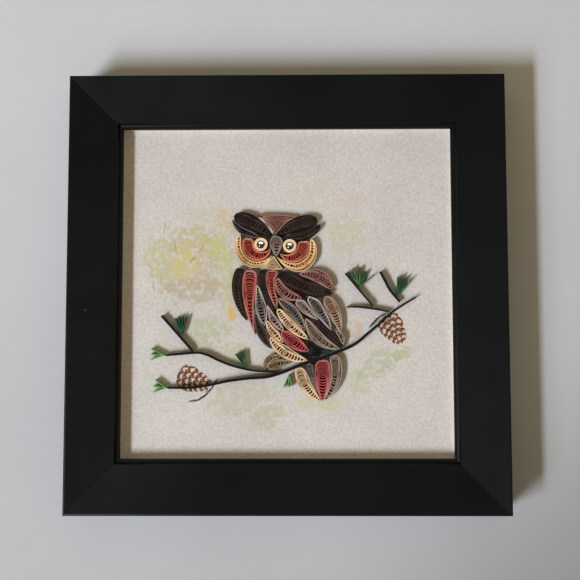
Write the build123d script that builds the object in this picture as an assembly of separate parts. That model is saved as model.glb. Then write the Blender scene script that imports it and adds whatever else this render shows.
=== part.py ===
from build123d import *
import cmath
import math
import os

# Framed quilled paper art: an owl on a pine branch, made of paper strips on edge, in a square
# black shadow frame. It lies on its back as modelled: X runs to the right of the picture,
# Y up the picture and Z out of the front. The origin is the centre of the frame's back plane.
# Points in the picture's plane are complex numbers, so that a turn is a product.

# Frame moulding: an eight inch square of one inch rails
FRAME_SIDE = 203.2
FRAME_DEPTH = 22.0
RAIL_WIDTH = 25.4
OUTER_EDGE_RADIUS = 1.0
LIP_THICKNESS = 4.0
STEP_DROP = 1.4
STEP_RUN = 0.6
STEP_LAND = 1.6
RABBET_WIDTH = 6.0

# What the frame holds, from front to back
SPACER_HEIGHT = 3.0
SPACER_SETBACK = 0.3
CARD_THICKNESS = 1.0
BOARD_THICKNESS = 3.0
INSERT_CLEARANCE = 0.5

# Flat steel points that hold the board, two on each side
POINT_LENGTH = 16.0
POINT_WIDTH = 6.0
POINT_THICKNESS = 0.6
POINT_DRIVEN = 7.0
POINT_TIP = 3.0
POINT_SPACING = 90.0

# Bent steel nails that close each mitre from behind, two in each corner
V_NAIL_DEPTH = 7.0
V_NAIL_LEG = 3.6
V_NAIL_THICKNESS = 0.5
V_NAIL_HALF_ANGLE = 60.0
V_NAIL_FROM_CORNER = (8.0, 18.0)

# Saw-tooth hanger and its two rivets on the back of the board
HANGER_LENGTH = 46.0
HANGER_WIDTH = 9.0
HANGER_THICKNESS = 0.8
HANGER_BOW = 1.2
HANGER_RAMP = 3.0
HANGER_END = 11.0
HANGER_TOOTH_COUNT = 11
HANGER_TOOTH_DEPTH = 1.4
HANGER_FROM_RABBET = 4.6
RIVET_FROM_END = 4.5
RIVET_RADIUS = 1.2
RIVET_HEAD_RADIUS = 2.4
RIVET_HEAD_HEIGHT = 0.7
RIVET_CLEARANCE = 0.05

# Quilling paper, and how its coils are drawn
STRIP_HEIGHT = 3.0
WALL = 0.38
TURN_GAP = 0.3
COIL_GAP = 0.24
MAX_TURNS = 2.4
CORE_SCALE = 0.3
TURN_POINT_COUNT = 16
TRIANGLE_POINT_COUNT = 15
SUB_POINT_COUNT = 3
RAMP = 2 / TURN_POINT_COUNT
PINCH = 0.15
SLANT_LIMIT = 2.5
PROBE_COUNT = 40

# Eyes: tight rolls with a half bead in the middle
EYE_RADIUS = 3.2
EYE_HOLE_RADIUS = 1.8
EYE_POINT_COUNT = 24
BEAD_CLEARANCE = 0.05
BEAD_CYLINDER = 2.5
BEAD_DOME = 0.9
DOME_STEP_COUNT = 3
EYE_CENTRES = (-12.1 + 22.1j, 1.3 + 21.4j)

# Branches and needles
BRANCH_SAMPLE_COUNT = 18
TWIG_SAMPLE_COUNT = 5
NEEDLE_THICKNESS = 0.4

# Levels
CARD_TOP = FRAME_DEPTH - LIP_THICKNESS - SPACER_HEIGHT
BOARD_TOP = CARD_TOP - CARD_THICKNESS
BOARD_BACK = BOARD_TOP - BOARD_THICKNESS
LIP_BACK = FRAME_DEPTH - LIP_THICKNESS
HALF_SIDE = FRAME_SIDE / 2
HALF_OPENING = HALF_SIDE - RAIL_WIDTH
HALF_RABBET = HALF_OPENING + RABBET_WIDTH
HALF_INSERT = HALF_RABBET - INSERT_CLEARANCE

# The picture's points are drawn for an opening of this side, and fitted to the real one
DRAWN_OPENING = 152.4
FIT = 2 * HALF_OPENING / DRAWN_OPENING

# How a pinched end is drawn: the power of the coil's width curve there
FINE = 1.2
SHARP = 0.9
SOFT = 0.7
ROUND = 0.5
BLUNT = 0.38
SQUARE = 0.25

# Branch strips glued on edge: points along the middle, then thickness at the start, in the
# middle and at the end
BRANCHES = {
    "branch_main": (
        (-55 - 44.1j, -45 - 44.1j, -37 - 43.1j, -28 - 41.2j, -18 - 39.8j, -9 - 39.1j,
         -1.3 - 36.8j, 6 - 33.8j, 15 - 30.8j, 24 - 27.5j, 31.2 - 24.2j, 37.2 - 19.3j,
         43.2 - 14.3j, 48.9 - 9.1j, 59.6 - 2.5j),
        0.9, 1.4, 0.8,
    ),
    "branch_left": (
        (-56 - 29.1j, -50.9 - 28.7j, -45 - 28.2j, -41 - 28.0j, -36.9 - 29.0j, -31.8 - 31.4j,
         -26.6 - 33.5j, -21.2 - 35.1j, -15.7 - 36.2j, -10 - 36.7j, -4.9 - 36.9j),
        0.9, 1.05, 0.6,
    ),
}
TWIGS = (
    ((-58.0 - 10.9j, -43.7 - 27.1j), 1.1, 1.0, 0.9),
    ((27.6 - 7.0j, 33 - 7.0j, 38.5 - 7.6j, 43.6 - 8.4j, 47.2 - 9.2j), 0.4, 0.7, 0.5),
    ((27.1 + 8.7j, 33.5 + 0.9j, 39.7 - 6.4j), 0.6, 0.55, 0.5),
    ((43.3 + 9.4j, 45.5 + 5.2j, 47.8 + 0.8j, 52.2 - 4.7j), 0.8, 0.9, 0.6),
    ((38.0 - 16.4j, 41.7 - 12.3j, 45.4 - 10.5j), 0.4, 0.5, 0.4),
)

# Needle tufts: the foot, then the tip of each needle from left to right
TUFTS_LEFT = (
    (-48.6 - 19.3j, (-51.8 - 12.0j, -50.0 - 11.4j, -48.3 - 11.2j, -46.4 - 11.4j)),
    (-56.9 - 29.0j, (-63.0 - 31.0j, -63.0 - 28.6j, -62.9 - 26.1j)),
    (-55.8 - 44.1j, (-61.7 - 46.0j, -61.6 - 43.3j, -60.7 - 40.4j)),
    (-19.1 - 34.7j, (-23.8 - 28.6j, -21.5 - 27.4j, -19.9 - 27.3j)),
)
TUFTS_RIGHT = (
    (0.8 - 38.3j, (2.3 - 43.4j, 0.5 - 43.8j, -1.6 - 43.9j)),
    (33.8 + 2.5j, (28.6 + 9.3j, 30.6 + 11.0j, 33.9 + 11.4j, 36.8 + 9.6j, 40.3 + 8.0j)),
    (50.9 - 1.7j, (51.3 + 6.8j, 53.4 + 7.5j, 55.6 + 6.9j, 57.8 + 6.3j)),
)

# Pinched coils in the order they are glued: start, end, bow to the left of that way or the two
# points that pull the middle line off it, width, and how each end is pinched. A coil glued later
# is pressed against those before it.
LEAVES = {
    "beak_coil": (-4.9 + 16.2j, -4.9 + 25.9j, 0.0, 5.0, FINE, ROUND),
    "left_brow_upper": (-24.6 + 35.2j, -7.4 + 26.2j, 1.4, 5.8, ROUND, SHARP),
    "left_brow_lower": (-25.4 + 33.7j, -8.6 + 25.0j, -2.2, 3.6, SOFT, SHARP),
    "crown_band": (-15.8 + 36.2j, -6.2 + 26.8j, 1.2, 1.7, SHARP, SHARP),
    "right_brow_upper": (-4.8 + 26.2j, 14.2 + 33.5j, 1.5, 5.5, SHARP, ROUND),
    "right_brow_lower": (-3.0 + 25.0j, 15.7 + 31.2j, -1.9, 4.4, SHARP, SOFT),
    "left_cheek_inner": (-17.4 + 25.9j, -7.4 + 20.3j, (-20.5 + 17.0j, -10.8 + 13.5j), 5.5, SQUARE, SHARP),
    "right_cheek_inner": (8.2 + 24.9j, -3.3 + 17.8j, (8.6 + 18.0j, 2.4 + 12.4j), 5.4, SQUARE, SHARP),
    "left_cheek_outer": (-21.8 + 27.4j, -6.9 + 16.9j, (-25.9 + 14.9j, -13.1 + 7.6j), 3.6, ROUND, SHARP),
    "right_cheek_outer": (10.9 + 25.9j, -4.9 + 16.6j, (14.6 + 13.0j, 5.0 + 5.6j), 4.3, ROUND, SHARP),
    "shoulder_black": (-3.4 + 8.8j, 21.0 - 0.6j, -1.8, 6.5, ROUND, SOFT),
    "shoulder_mauve": (3.8 + 7.8j, 20.8 + 1.4j, 3.1, 5.6, SHARP, SOFT),
    "wing_red": (-16.8 + 10.1j, -14.7 - 19.6j, -1.8, 5.6, SQUARE, FINE),
    "wing_black": (-21.3 + 11.0j, -18.7 - 13.2j, -2.9, 4.7, SQUARE, SHARP),
    "breast_mauve": (-4.5 + 6.7j, 6.9 - 2.9j, -2.7, 5.4, SOFT, SHARP),
    "breast_red": (-6.9 + 10.0j, -4.8 - 8.0j, -0.5, 5.4, SQUARE, SHARP),
    "breast_black": (-11.6 + 10.2j, -4.7 - 11.6j, -1.5, 3.2, SQUARE, SHARP),
    "wing_grey": (-14.1 + 4.6j, -10.3 - 15.6j, -0.2, 5.0, SHARP, SHARP),
    "feather_tan": (17.4 - 1.6j, 24.9 - 18.4j, 0.7, 5.2, ROUND, SHARP),
    "feather_grey_right": (9.8 - 2.2j, 20.3 - 17.8j, 0.8, 4.6, ROUND, SHARP),
    "feather_pale": (3.7 - 3.8j, 14.3 - 12.9j, 0.3, 4.3, ROUND, SHARP),
    "feather_grey_middle": (-3.9 - 3.2j, 8.4 - 18.0j, 1.2, 4.2, ROUND, SOFT),
    "feather_cream_upper": (-5.2 - 7.0j, 9.8 - 22.0j, -0.8, 4.7, SOFT, SHARP),
    "feather_taupe_left": (-9.4 - 5.2j, -1.6 - 18.0j, -0.9, 4.2, SHARP, SHARP),
    "feather_taupe": (8.6 - 12.2j, 25.2 - 26.5j, -3.2, 4.8, SOFT, SHARP),
    "feather_black": (9.9 - 11.6j, 25.9 - 25.4j, 0.3, 3.6, SHARP, SHARP),
    "feather_taupe_right": (20.9 - 12.6j, 26.0 - 24.4j, 0.2, 3.2, SHARP, SHARP),
    "feather_red": (-5.6 - 14.6j, 9.9 - 27.4j, -1.1, 5.2, SOFT, SHARP),
    "feather_cream_middle": (-9.8 - 11.8j, 1.4 - 25.4j, -1.6, 3.9, SOFT, SHARP),
    "feather_cream_lower": (-8.0 - 20.4j, 9.5 - 31.6j, -2.4, 4.7, SOFT, SHARP),
    "wing_black_lower": (-15.2 - 6.6j, -5.3 - 27.8j, -2.0, 4.2, SHARP, SOFT),
    "foot_lower": (-9.0 - 35.0j, 6.4 - 32.2j, 0.8, 3.8, ROUND, SHARP),
    "foot_upper": (-10.3 - 35.5j, -0.2 - 30.9j, 3.0, 3.6, SOFT, SHARP),
    "tail_red": (16.2 - 30.8j, 16.3 - 50.0j, 0.0, 6.0, SQUARE, SOFT),
    "tail_taupe": (21.4 - 29.4j, 17.1 - 49.8j, 2.9, 4.9, SQUARE, SOFT),
    "tail_cream": (5.5 - 35.1j, 15.7 - 50.2j, -1.9, 5.0, BLUNT, SHARP),
    "tail_grey": (9.9 - 32.6j, 14.0 - 47.0j, 0.0, 5.6, ROUND, FINE),
    "belly_black_lower": (0.0 - 24.6j, 11.6 - 29.9j, -0.5, 3.0, SHARP, SHARP),
}

# Coils pinched three times: corners clockwise, and how far the side after each one swells
TRIANGLES = {
    "crown_coil": ((-13.6 + 36.0j, 5.2 + 35.2j, -5.3 + 26.4j), (0.5, -0.9, 0.3)),
    "chin_coil": ((-12.6 + 10.7j, -6.0 + 17.1j, -1.2 + 10.3j), (-0.5, -0.2, 0.3)),
    "belly_black": ((9.8 - 20.8j, 24.2 - 27.3j, 8.6 - 31.2j), (0.6, 0.6, 0.6)),
}


def cross(a, b):
    """The cross product of two plane vectors."""
    return (a.conjugate() * b).imag


def dot(a, b):
    """The scalar product of two plane vectors."""
    return (a.conjugate() * b).real


def sides(outline):
    """Each side of a closed outline, as its two ends."""
    return zip(outline, outline[1:] + outline[:1])


def plate(points, bottom, height):
    """A straight-sided solid on a closed outline of complex points."""
    corners = [(point.real, point.imag) for point in points]
    face = make_face(Polyline(*corners, close=True))
    return Pos(0, 0, bottom) * extrude(face, amount=height)


def four_ways(shape):
    """The same solid on each of the four sides of the square frame."""
    return [Rot(0, 0, 90 * quarter) * shape for quarter in range(4)]


# Frame


def rail_profile():
    """Section of the moulding, drawn for the lower rail: outer side at the left, face on top."""
    outer = -HALF_SIDE
    step_foot = -HALF_OPENING - STEP_LAND
    corners = [
        (outer, 0),
        (outer, FRAME_DEPTH),
        (step_foot - STEP_RUN, FRAME_DEPTH),
        (step_foot, FRAME_DEPTH - STEP_DROP),
        (-HALF_OPENING, FRAME_DEPTH - STEP_DROP),
        (-HALF_OPENING, LIP_BACK),
        (-HALF_RABBET, LIP_BACK),
        (-HALF_RABBET, 0),
    ]
    face = make_face(Polyline(*corners, close=True))
    outer_edge = face.vertices().sort_by(Axis.X)[:2].sort_by(Axis.Y)[-1]
    return fillet(outer_edge, radius=OUTER_EDGE_RADIUS)


def lower_rail():
    """The moulding along the lower side, mitred at both ends."""
    section = Plane.YZ.offset(-HALF_SIDE) * rail_profile()
    bar = extrude(section, amount=FRAME_SIDE)
    wedge = plate([-HALF_SIDE - 1j * HALF_SIDE, HALF_SIDE - 1j * HALF_SIDE, 0j], 0, FRAME_DEPTH)
    return bar & wedge


def corner_nails():
    """Two bent nails in the lower left mitre, flush with the back of the rails."""
    inward = cmath.exp(1j * math.pi / 4)
    spread = math.radians(V_NAIL_HALF_ANGLE)
    thick = V_NAIL_THICKNESS / math.sin(spread)
    leg = cmath.rect(V_NAIL_LEG, spread)
    corner = -HALF_SIDE - 1j * HALF_SIDE
    nails = []
    for distance in V_NAIL_FROM_CORNER:
        shape = [0, leg, leg + thick, thick, leg.conjugate() + thick, leg.conjugate()]
        outline = [corner + inward * (distance + point) for point in shape]
        nails.append(plate(outline, 0, V_NAIL_DEPTH))
    return nails


def side_points():
    """Two flat points driven into the lower rail, lying on the back of the board."""
    half = POINT_WIDTH / 2
    driven = -HALF_RABBET - POINT_DRIVEN
    points = []
    for middle in (-POINT_SPACING / 2, POINT_SPACING / 2):
        shape = [
            middle + 1j * driven,
            middle + half + 1j * (driven + POINT_TIP),
            middle + half + 1j * (driven + POINT_LENGTH),
            middle - half + 1j * (driven + POINT_LENGTH),
            middle - half + 1j * (driven + POINT_TIP),
        ]
        points.append(plate(shape, BOARD_BACK - POINT_THICKNESS, POINT_THICKNESS))
    return points


def spacer():
    """A mitred strip along the lower side, between the lip and the card."""
    inner = HALF_OPENING + SPACER_SETBACK
    outer = HALF_INSERT
    corners = [-outer - 1j * outer, outer - 1j * outer, inner - 1j * inner, -inner - 1j * inner]
    return plate(corners, CARD_TOP, SPACER_HEIGHT)


def insert_sheet(bottom, thickness):
    """A square sheet that fills the rabbet, such as the card or the board."""
    half = HALF_INSERT
    corners = [-half - 1j * half, half - 1j * half, half + 1j * half, -half + 1j * half]
    return plate(corners, bottom, thickness)


def hanger_middle():
    """Where the middle of the hanger lies on the board."""
    return 1j * (HALF_RABBET - HANGER_FROM_RABBET - HANGER_WIDTH / 2)


def rivet_places():
    """The middle of each rivet."""
    reach = HANGER_LENGTH / 2 - RIVET_FROM_END
    return [hanger_middle() - reach, hanger_middle() + reach]


def hanger():
    """Strip of steel with teeth along its lower edge, bowed clear of the board between its ends."""
    half_length = HANGER_LENGTH / 2
    half_width = HANGER_WIDTH / 2
    saw = half_length - HANGER_END
    pitch = 2 * saw / HANGER_TOOTH_COUNT
    outline = [half_length - 1j * half_width, half_length + 1j * half_width]
    outline += [-half_length + 1j * half_width, -half_length - 1j * half_width]
    for tooth in range(HANGER_TOOTH_COUNT):
        left = -saw + tooth * pitch
        outline.append(left - 1j * half_width)
        outline.append(left + pitch / 2 - 1j * (half_width - HANGER_TOOTH_DEPTH))
    outline.append(saw - 1j * half_width)
    blank = plate([hanger_middle() + point for point in outline], 0, BOARD_BACK)
    flat_end = saw + HANGER_RAMP
    upper = [(half_length, 0), (flat_end, 0), (saw, HANGER_BOW)]
    upper += [(-x, drop) for x, drop in reversed(upper)]
    lower = [(x, drop + HANGER_THICKNESS) for x, drop in reversed(upper)]
    path = [(x, BOARD_BACK - drop) for x, drop in upper + lower]
    band_face = Plane.XZ * make_face(Polyline(*path, close=True))
    band = Pos(0, HALF_SIDE, 0) * extrude(band_face, amount=HALF_SIDE)
    solid = blank & band
    for place in rivet_places():
        hole = Cylinder(RIVET_RADIUS + RIVET_CLEARANCE, 2 * BOARD_BACK)
        solid -= Pos(place.real, place.imag, 0) * hole
    return solid


def rivets():
    """Two rivets through the hanger's ends and the board."""
    head_bottom = BOARD_BACK - HANGER_THICKNESS - RIVET_HEAD_HEIGHT
    solids = []
    for place in rivet_places():
        shank = extrude(Circle(RIVET_RADIUS), amount=BOARD_TOP - head_bottom)
        head = extrude(Circle(RIVET_HEAD_RADIUS), amount=RIVET_HEAD_HEIGHT)
        solids.append(Pos(place.real, place.imag, head_bottom) * (shank + head))
    return solids


def backing_board():
    """The board behind the card, with a hole for each rivet."""
    solid = insert_sheet(BOARD_BACK, BOARD_THICKNESS)
    for place in rivet_places():
        hole = Cylinder(RIVET_RADIUS + RIVET_CLEARANCE, 4 * BOARD_TOP)
        solid -= Pos(place.real, place.imag, 0) * hole
    return solid


# Paper work


def strip_outline(points, start_width, middle_width, end_width, samples):
    """A strip on edge seen from above: a curve through the points, thickest in the middle."""
    path = Spline(*[(p.real, p.imag) for p in points]) if len(points) > 2 else None
    left, right = [], []
    for step in range(samples + 1):
        share = step / samples
        if path:
            at, along = path @ share, path % share
            place, way = complex(at.X, at.Y), complex(along.X, along.Y)
        else:
            way = (points[1] - points[0]) / abs(points[1] - points[0])
            place = points[0] + share * (points[1] - points[0])
        end = start_width if share < 0.5 else end_width
        thickness = middle_width + (end - middle_width) * abs(2 * share - 1) ** 2
        left.append(place + 1j * way * thickness / 2)
        right.append(place - 1j * way * thickness / 2)
    return left + right[::-1]


def tuft_outline(foot, tips):
    """Needles that fan out from one foot, each a strip on edge, joined where they meet."""
    ways = [(tip - foot) / abs(tip - foot) for tip in tips]
    half = NEEDLE_THICKNESS / 2
    outline = [foot + 1j * half * ways[0]]
    for index, (tip, way) in enumerate(zip(tips, ways)):
        outline += [tip + 1j * half * way, tip - 1j * half * way]
        if index + 1 < len(ways):
            middle = (way + ways[index + 1]) / abs(way + ways[index + 1])
            half_angle = abs(cmath.phase(way / ways[index + 1])) / 2
            outline.append(foot + middle * half / math.sin(half_angle))
    outline.append(foot - 1j * half * ways[-1])
    return outline


def fitted(*values):
    """Lengths and points of the drawn picture, scaled to the frame's opening."""
    return [value * FIT for value in values]


def circle_outline(centre, radius):
    """A circle as points, for what is pressed against it."""
    steps = range(EYE_POINT_COUNT)
    return [centre + cmath.rect(radius, 2 * math.pi * step / EYE_POINT_COUNT) for step in steps]


def inside(point, outline):
    """Whether a point lies within a closed outline."""
    crossings = 0
    for a, b in sides(outline):
        if (a.imag > point.imag) != (b.imag > point.imag):
            at = a.real + (point.imag - a.imag) * (b.real - a.real) / (b.imag - a.imag)
            crossings += at > point.real
    return crossings % 2 == 1


def clearance(point, outlines):
    """The least distance from a point to any of the outlines, or zero inside one."""
    least = FRAME_SIDE
    for outline in outlines:
        if inside(point, outline):
            return 0.0
        for a, b in sides(outline):
            share = min(max(dot(b - a, point - a) / abs(b - a) ** 2, 0), 1)
            least = min(least, abs(point - a - share * (b - a)))
    return least


def free_reach(start, way, limit, outlines):
    """How far from start, along a unit vector, a coil may swell before its neighbours stop it."""
    free = limit
    for outline in outlines:
        for a, b in sides(outline):
            turn = cross(way, b - a)
            if abs(turn) < 1e-9:
                continue
            distance = cross(a - start, b - a) / turn
            share = cross(a - start, way) / turn
            if distance > 0 and 0 <= share <= 1:
                slant = min(abs(b - a) / abs(turn), SLANT_LIMIT)
                free = min(free, distance - COIL_GAP * slant)
    return max(free, 0.0)


def leaf_spine(start, end, bend, share, across):
    """The place at a share of the bent middle line, moved across it to the left."""
    if isinstance(bend, list):
        first, second = bend
    else:
        chord = end - start
        off = 1j * chord / abs(chord) * bend * 4 / 3
        first, second = start + chord / 3 + off, end - chord / 3 + off
    rest = 1 - share
    place = rest ** 3 * start + 3 * rest ** 2 * share * first
    place += 3 * rest * share ** 2 * second + share ** 3 * end
    way = rest ** 2 * (first - start) + 2 * rest * share * (second - first)
    way += share ** 2 * (end - second)
    return place + 1j * way / abs(way) * across


def width_curve(share, start_power, end_power):
    """A coil's width along its length, from 0 at each pinch to 1 at the widest place."""
    widest = start_power / (start_power + end_power)
    rise = (share / widest) ** start_power
    return rise * ((1 - share) / (1 - widest)) ** end_power


def least_near(ratios):
    """Each ratio's least value within a step of it, so that a straight side clears what it passes."""
    near = [ratios[max(at - SUB_POINT_COUNT, 0):at + SUB_POINT_COUNT + 1] for at in range(len(ratios))]
    return [min(window) for window in near]


def free_span(start, end, bend, outlines):
    """The stretch of a coil's middle line that its neighbours leave free, as two shares."""
    shares = [probe / PROBE_COUNT for probe in range(PROBE_COUNT + 1)]
    places = [leaf_spine(start, end, bend, share, 0) for share in shares]
    free = [clearance(place, outlines) > COIL_GAP + PINCH for place in places]
    runs, begun = [], None
    for index, is_free in enumerate(free + [False]):
        if is_free and begun is None:
            begun = index
        if not is_free and begun is not None:
            runs.append((begun, index - 1))
            begun = None
    low, high = max(runs, key=lambda run: run[1] - run[0])
    return shares[low], shares[high]


def leaf_coil(start, end, bend, width, start_power, end_power, outlines):
    """A coil pinched at both ends: what gives its points, how many to a turn, its half width."""
    first, last = free_span(start, end, bend, outlines)
    span = last - first
    half_points = TURN_POINT_COUNT // 2
    fine = half_points * SUB_POINT_COUNT
    shares = [(1 - math.cos(math.pi * step / fine)) / 2 for step in range(fine + 1)]
    full = [width / 2 * width_curve(share, start_power, end_power) for share in shares]
    pressed = {}
    for side in (1, -1):
        ratios = []
        for share, limit in zip(shares, full):
            place = leaf_spine(start, end, bend, first + span * share, 0)
            edge = leaf_spine(start, end, bend, first + span * share, side)
            reach = free_reach(place, edge - place, limit, outlines)
            ratios.append(max(reach, min(PINCH, limit)) / max(limit, PINCH))
        ratios[0], ratios[-1] = ratios[1], ratios[-2]
        pressed[side] = least_near(ratios)
    focus = start_power / (start_power + end_power)

    def place_at(index, scale):
        index %= TURN_POINT_COUNT
        side = 1 if index <= half_points else -1
        step = SUB_POINT_COUNT * (index if side == 1 else TURN_POINT_COUNT - index)
        share = focus + scale * (shares[step] - focus)
        at = fine * math.acos(1 - 2 * share) / math.pi
        below = min(int(at), fine - 1)
        low, high = pressed[side][below], pressed[side][below + 1]
        across = scale * full[step] * (low + (at - below) * (high - low))
        return leaf_spine(start, end, bend, first + span * share, side * across)

    wide = [full[step] * pressed[side][step] for side in (1, -1) for step in range(fine + 1)]
    wide = sorted(wide)[len(wide) // 3:]
    return place_at, TURN_POINT_COUNT, sum(wide) / len(wide)


def triangle_coil(corners, swells, outlines):
    """A coil pinched three times, as leaf_coil gives one pinched twice."""
    centre = sum(corners) / len(corners)
    fine = TRIANGLE_POINT_COUNT * SUB_POINT_COUNT
    spokes, ratios = [], []
    for step in range(fine):
        side, share = divmod(step * len(corners) / fine, 1)
        a, b = corners[int(side)], corners[(int(side) + 1) % len(corners)]
        out = 1j * (b - a) / abs(b - a) * swells[int(side)] * 4 * share * (1 - share)
        spoke = a + share * (b - a) + out - centre
        spokes.append(spoke)
        ratios.append(free_reach(centre, spoke / abs(spoke), abs(spoke), outlines) / abs(spoke))
    around = least_near(ratios[-SUB_POINT_COUNT:] + ratios + ratios[:SUB_POINT_COUNT])[SUB_POINT_COUNT:]
    pressed = [spokes[step] * around[step] for step in range(0, fine, SUB_POINT_COUNT)]

    def place_at(index, scale):
        return centre + scale * pressed[index % TRIANGLE_POINT_COUNT]

    return place_at, TRIANGLE_POINT_COUNT, min(abs(spoke) for spoke in pressed)


def coil_outline(place_at, points, half_width):
    """One strip wound inwards from its glued end, seen from above."""
    wall = WALL / half_width
    step = (WALL + TURN_GAP) / half_width
    turns = min(MAX_TURNS, (1 - CORE_SCALE - wall) / step)
    if turns < 1.25:
        last = round((1 - RAMP) * points)
    else:
        last = round(points / 4 + round(2 * turns - 0.6) * points / 2)
    outer, inner = [], []
    for index in range(last + 1):
        turn = index / points
        seam = min(max((turn - 1 + RAMP) / RAMP, 0), 1)
        scale = 1 - step * (seam + max(turn - 1, 0))
        outer.append(place_at(index, scale))
        inner.append(place_at(index, scale - wall))
    return outer + inner[::-1]


def paper_outlines():
    """Each strip, tuft and coil on the card, by node, as outlines seen from above."""
    outlines = {}
    for name, (path, start_width, middle_width, end_width) in BRANCHES.items():
        widths = (start_width, middle_width, end_width)
        outlines[name] = [strip_outline(fitted(*path), *widths, BRANCH_SAMPLE_COUNT)]
    glued = [outlines[name][0] for name in BRANCHES]
    glued += [circle_outline(centre, EYE_RADIUS) for centre in fitted(*EYE_CENTRES)]
    outlines["twigs"] = [
        strip_outline(fitted(*path), *widths, TWIG_SAMPLE_COUNT) for path, *widths in TWIGS
    ]
    for name, tufts in (("needles_left", TUFTS_LEFT), ("needles_right", TUFTS_RIGHT)):
        outlines[name] = [tuft_outline(foot * FIT, fitted(*tips)) for foot, tips in tufts]
    coils = {}
    for name, (start, end, bend, width, *powers) in LEAVES.items():
        bend = fitted(*bend) if isinstance(bend, tuple) else bend * FIT
        coils[name] = leaf_coil, (start * FIT, end * FIT, bend, width * FIT, *powers)
    for name, (corners, swells) in TRIANGLES.items():
        coils[name] = triangle_coil, (fitted(*corners), fitted(*swells))
    for name, (make, shape) in coils.items():
        place_at, points, half_width = make(*shape, glued)
        glued.append([place_at(index, 1) for index in range(points)])
        outlines[name] = [coil_outline(place_at, points, half_width)]
    return outlines


def eye_bead():
    """A half bead: a short cylinder under a spherical cap of facets, standing on the card."""
    radius = EYE_HOLE_RADIUS - BEAD_CLEARANCE
    top = BEAD_CYLINDER + BEAD_DOME
    ball = (radius ** 2 + BEAD_DOME ** 2) / (2 * BEAD_DOME)
    rim_angle = math.asin(radius / ball)
    profile = [(0, top), (0, 0), (radius, 0), (radius, BEAD_CYLINDER)]
    for step in range(1, DOME_STEP_COUNT):
        angle = rim_angle * (1 - step / DOME_STEP_COUNT)
        profile.append((ball * math.sin(angle), top - ball + ball * math.cos(angle)))
    return revolve(Plane.XZ * make_face(Polyline(*profile, close=True)), Axis.Z)


def build():
    """Every node of the object, by name, as a list of solids."""
    nodes = {}
    nails = corner_nails()
    points = side_points()
    rail = lower_rail()
    for fastener in nails + [Rot(0, 0, 90) * nail for nail in nails] + points:
        rail -= fastener
    for name, turned in zip(("rail_bottom", "rail_right", "rail_top", "rail_left"), four_ways(rail)):
        nodes[name] = [turned]
    nodes["corner_nails"] = [turned for nail in nails for turned in four_ways(nail)]
    nodes["board_points"] = [turned for point in points for turned in four_ways(point)]
    nodes["spacer_strips"] = four_ways(spacer())
    nodes["art_card"] = [insert_sheet(BOARD_TOP, CARD_THICKNESS)]
    nodes["backing_board"] = [backing_board()]
    nodes["hanger"] = [hanger()]
    nodes["hanger_rivets"] = rivets()
    for name, outlines in paper_outlines().items():
        nodes[name] = [plate(outline, CARD_TOP, STRIP_HEIGHT) for outline in outlines]
    roll = extrude(Circle(EYE_RADIUS) - Circle(EYE_HOLE_RADIUS), amount=STRIP_HEIGHT)
    bead = eye_bead()
    eyes = [Pos(centre.real, centre.imag, CARD_TOP) for centre in fitted(*EYE_CENTRES)]
    nodes["eye_rolls"] = [eye * roll for eye in eyes]
    nodes["eye_beads"] = [eye * bead for eye in eyes]
    return nodes


os.makedirs("parts", exist_ok=True)
for node, solids in build().items():
    shape = solids[0] if len(solids) == 1 else Compound(children=solids)
    export_step(shape, f"parts/{node}.step")
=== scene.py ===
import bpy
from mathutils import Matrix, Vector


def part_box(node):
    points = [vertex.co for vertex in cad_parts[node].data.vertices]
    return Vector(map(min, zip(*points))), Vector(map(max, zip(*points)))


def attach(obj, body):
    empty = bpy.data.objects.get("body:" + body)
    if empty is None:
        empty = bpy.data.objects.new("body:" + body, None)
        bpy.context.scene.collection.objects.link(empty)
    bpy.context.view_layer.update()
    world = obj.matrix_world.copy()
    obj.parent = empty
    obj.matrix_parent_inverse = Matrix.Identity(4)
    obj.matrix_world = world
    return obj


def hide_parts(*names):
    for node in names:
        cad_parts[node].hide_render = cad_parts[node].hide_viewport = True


bl_info = {
    "name": "Framed Quilled Paper Owl",
    "version": (1, 0, 0),
    "blender": (4, 5, 0),
    "location": "View3D > Sidebar > Paper Art",
    "description": "Builds a quilled paper owl in its shadow frame, strip by strip",
    "category": "Object",
}

import math

import bmesh
import bpy
import numpy as np
from mathutils import Euler, Matrix, Vector

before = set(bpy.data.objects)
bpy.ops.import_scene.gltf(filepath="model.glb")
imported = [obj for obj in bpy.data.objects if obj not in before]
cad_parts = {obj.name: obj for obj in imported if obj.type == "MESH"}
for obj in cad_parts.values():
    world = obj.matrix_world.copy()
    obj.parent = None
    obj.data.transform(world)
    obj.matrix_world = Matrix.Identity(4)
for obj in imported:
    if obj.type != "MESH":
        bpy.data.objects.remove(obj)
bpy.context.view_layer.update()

MM = 0.001
ROOT = "root"
CARD_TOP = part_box("art_card")[1].z / MM
HALF_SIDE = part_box("rail_bottom")[1].x / MM
FRAME_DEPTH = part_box("rail_bottom")[1].z / MM
HALF_OPENING = -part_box("rail_bottom")[1].y / MM
PAPER_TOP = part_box("beak_coil")[1].z / MM

# The picture's points are drawn for an opening of this side, and fitted to the frame's
DRAWN_OPENING = 152.4
FIT = 2 * HALF_OPENING / DRAWN_OPENING

# How a pinched end is drawn: the power of the coil's width curve there
FINE = 1.2
SHARP = 0.9
SOFT = 0.7
ROUND = 0.5
BLUNT = 0.38
SQUARE = 0.25

# Coils: the steps in half a turn; the stretch over which a neighbour's pressure is evened out; the
# least half width that a pressed coil keeps; how much a slanted neighbour may widen the gap; the
# places tried for room along a coil; the length over which its turns close in to its middle, and
# the least that this length counts for as a share of the coil; the most that turns lean aside
HALF_TURN = 36
PRESS_REACH = 8
PINCH = 0.15
SLANT_LIMIT = 2.5
PROBE_COUNT = 120
CORE_LENGTH = 12.0
CORE_LEAST = 0.35
MOST_LEAN = 0.3

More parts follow.
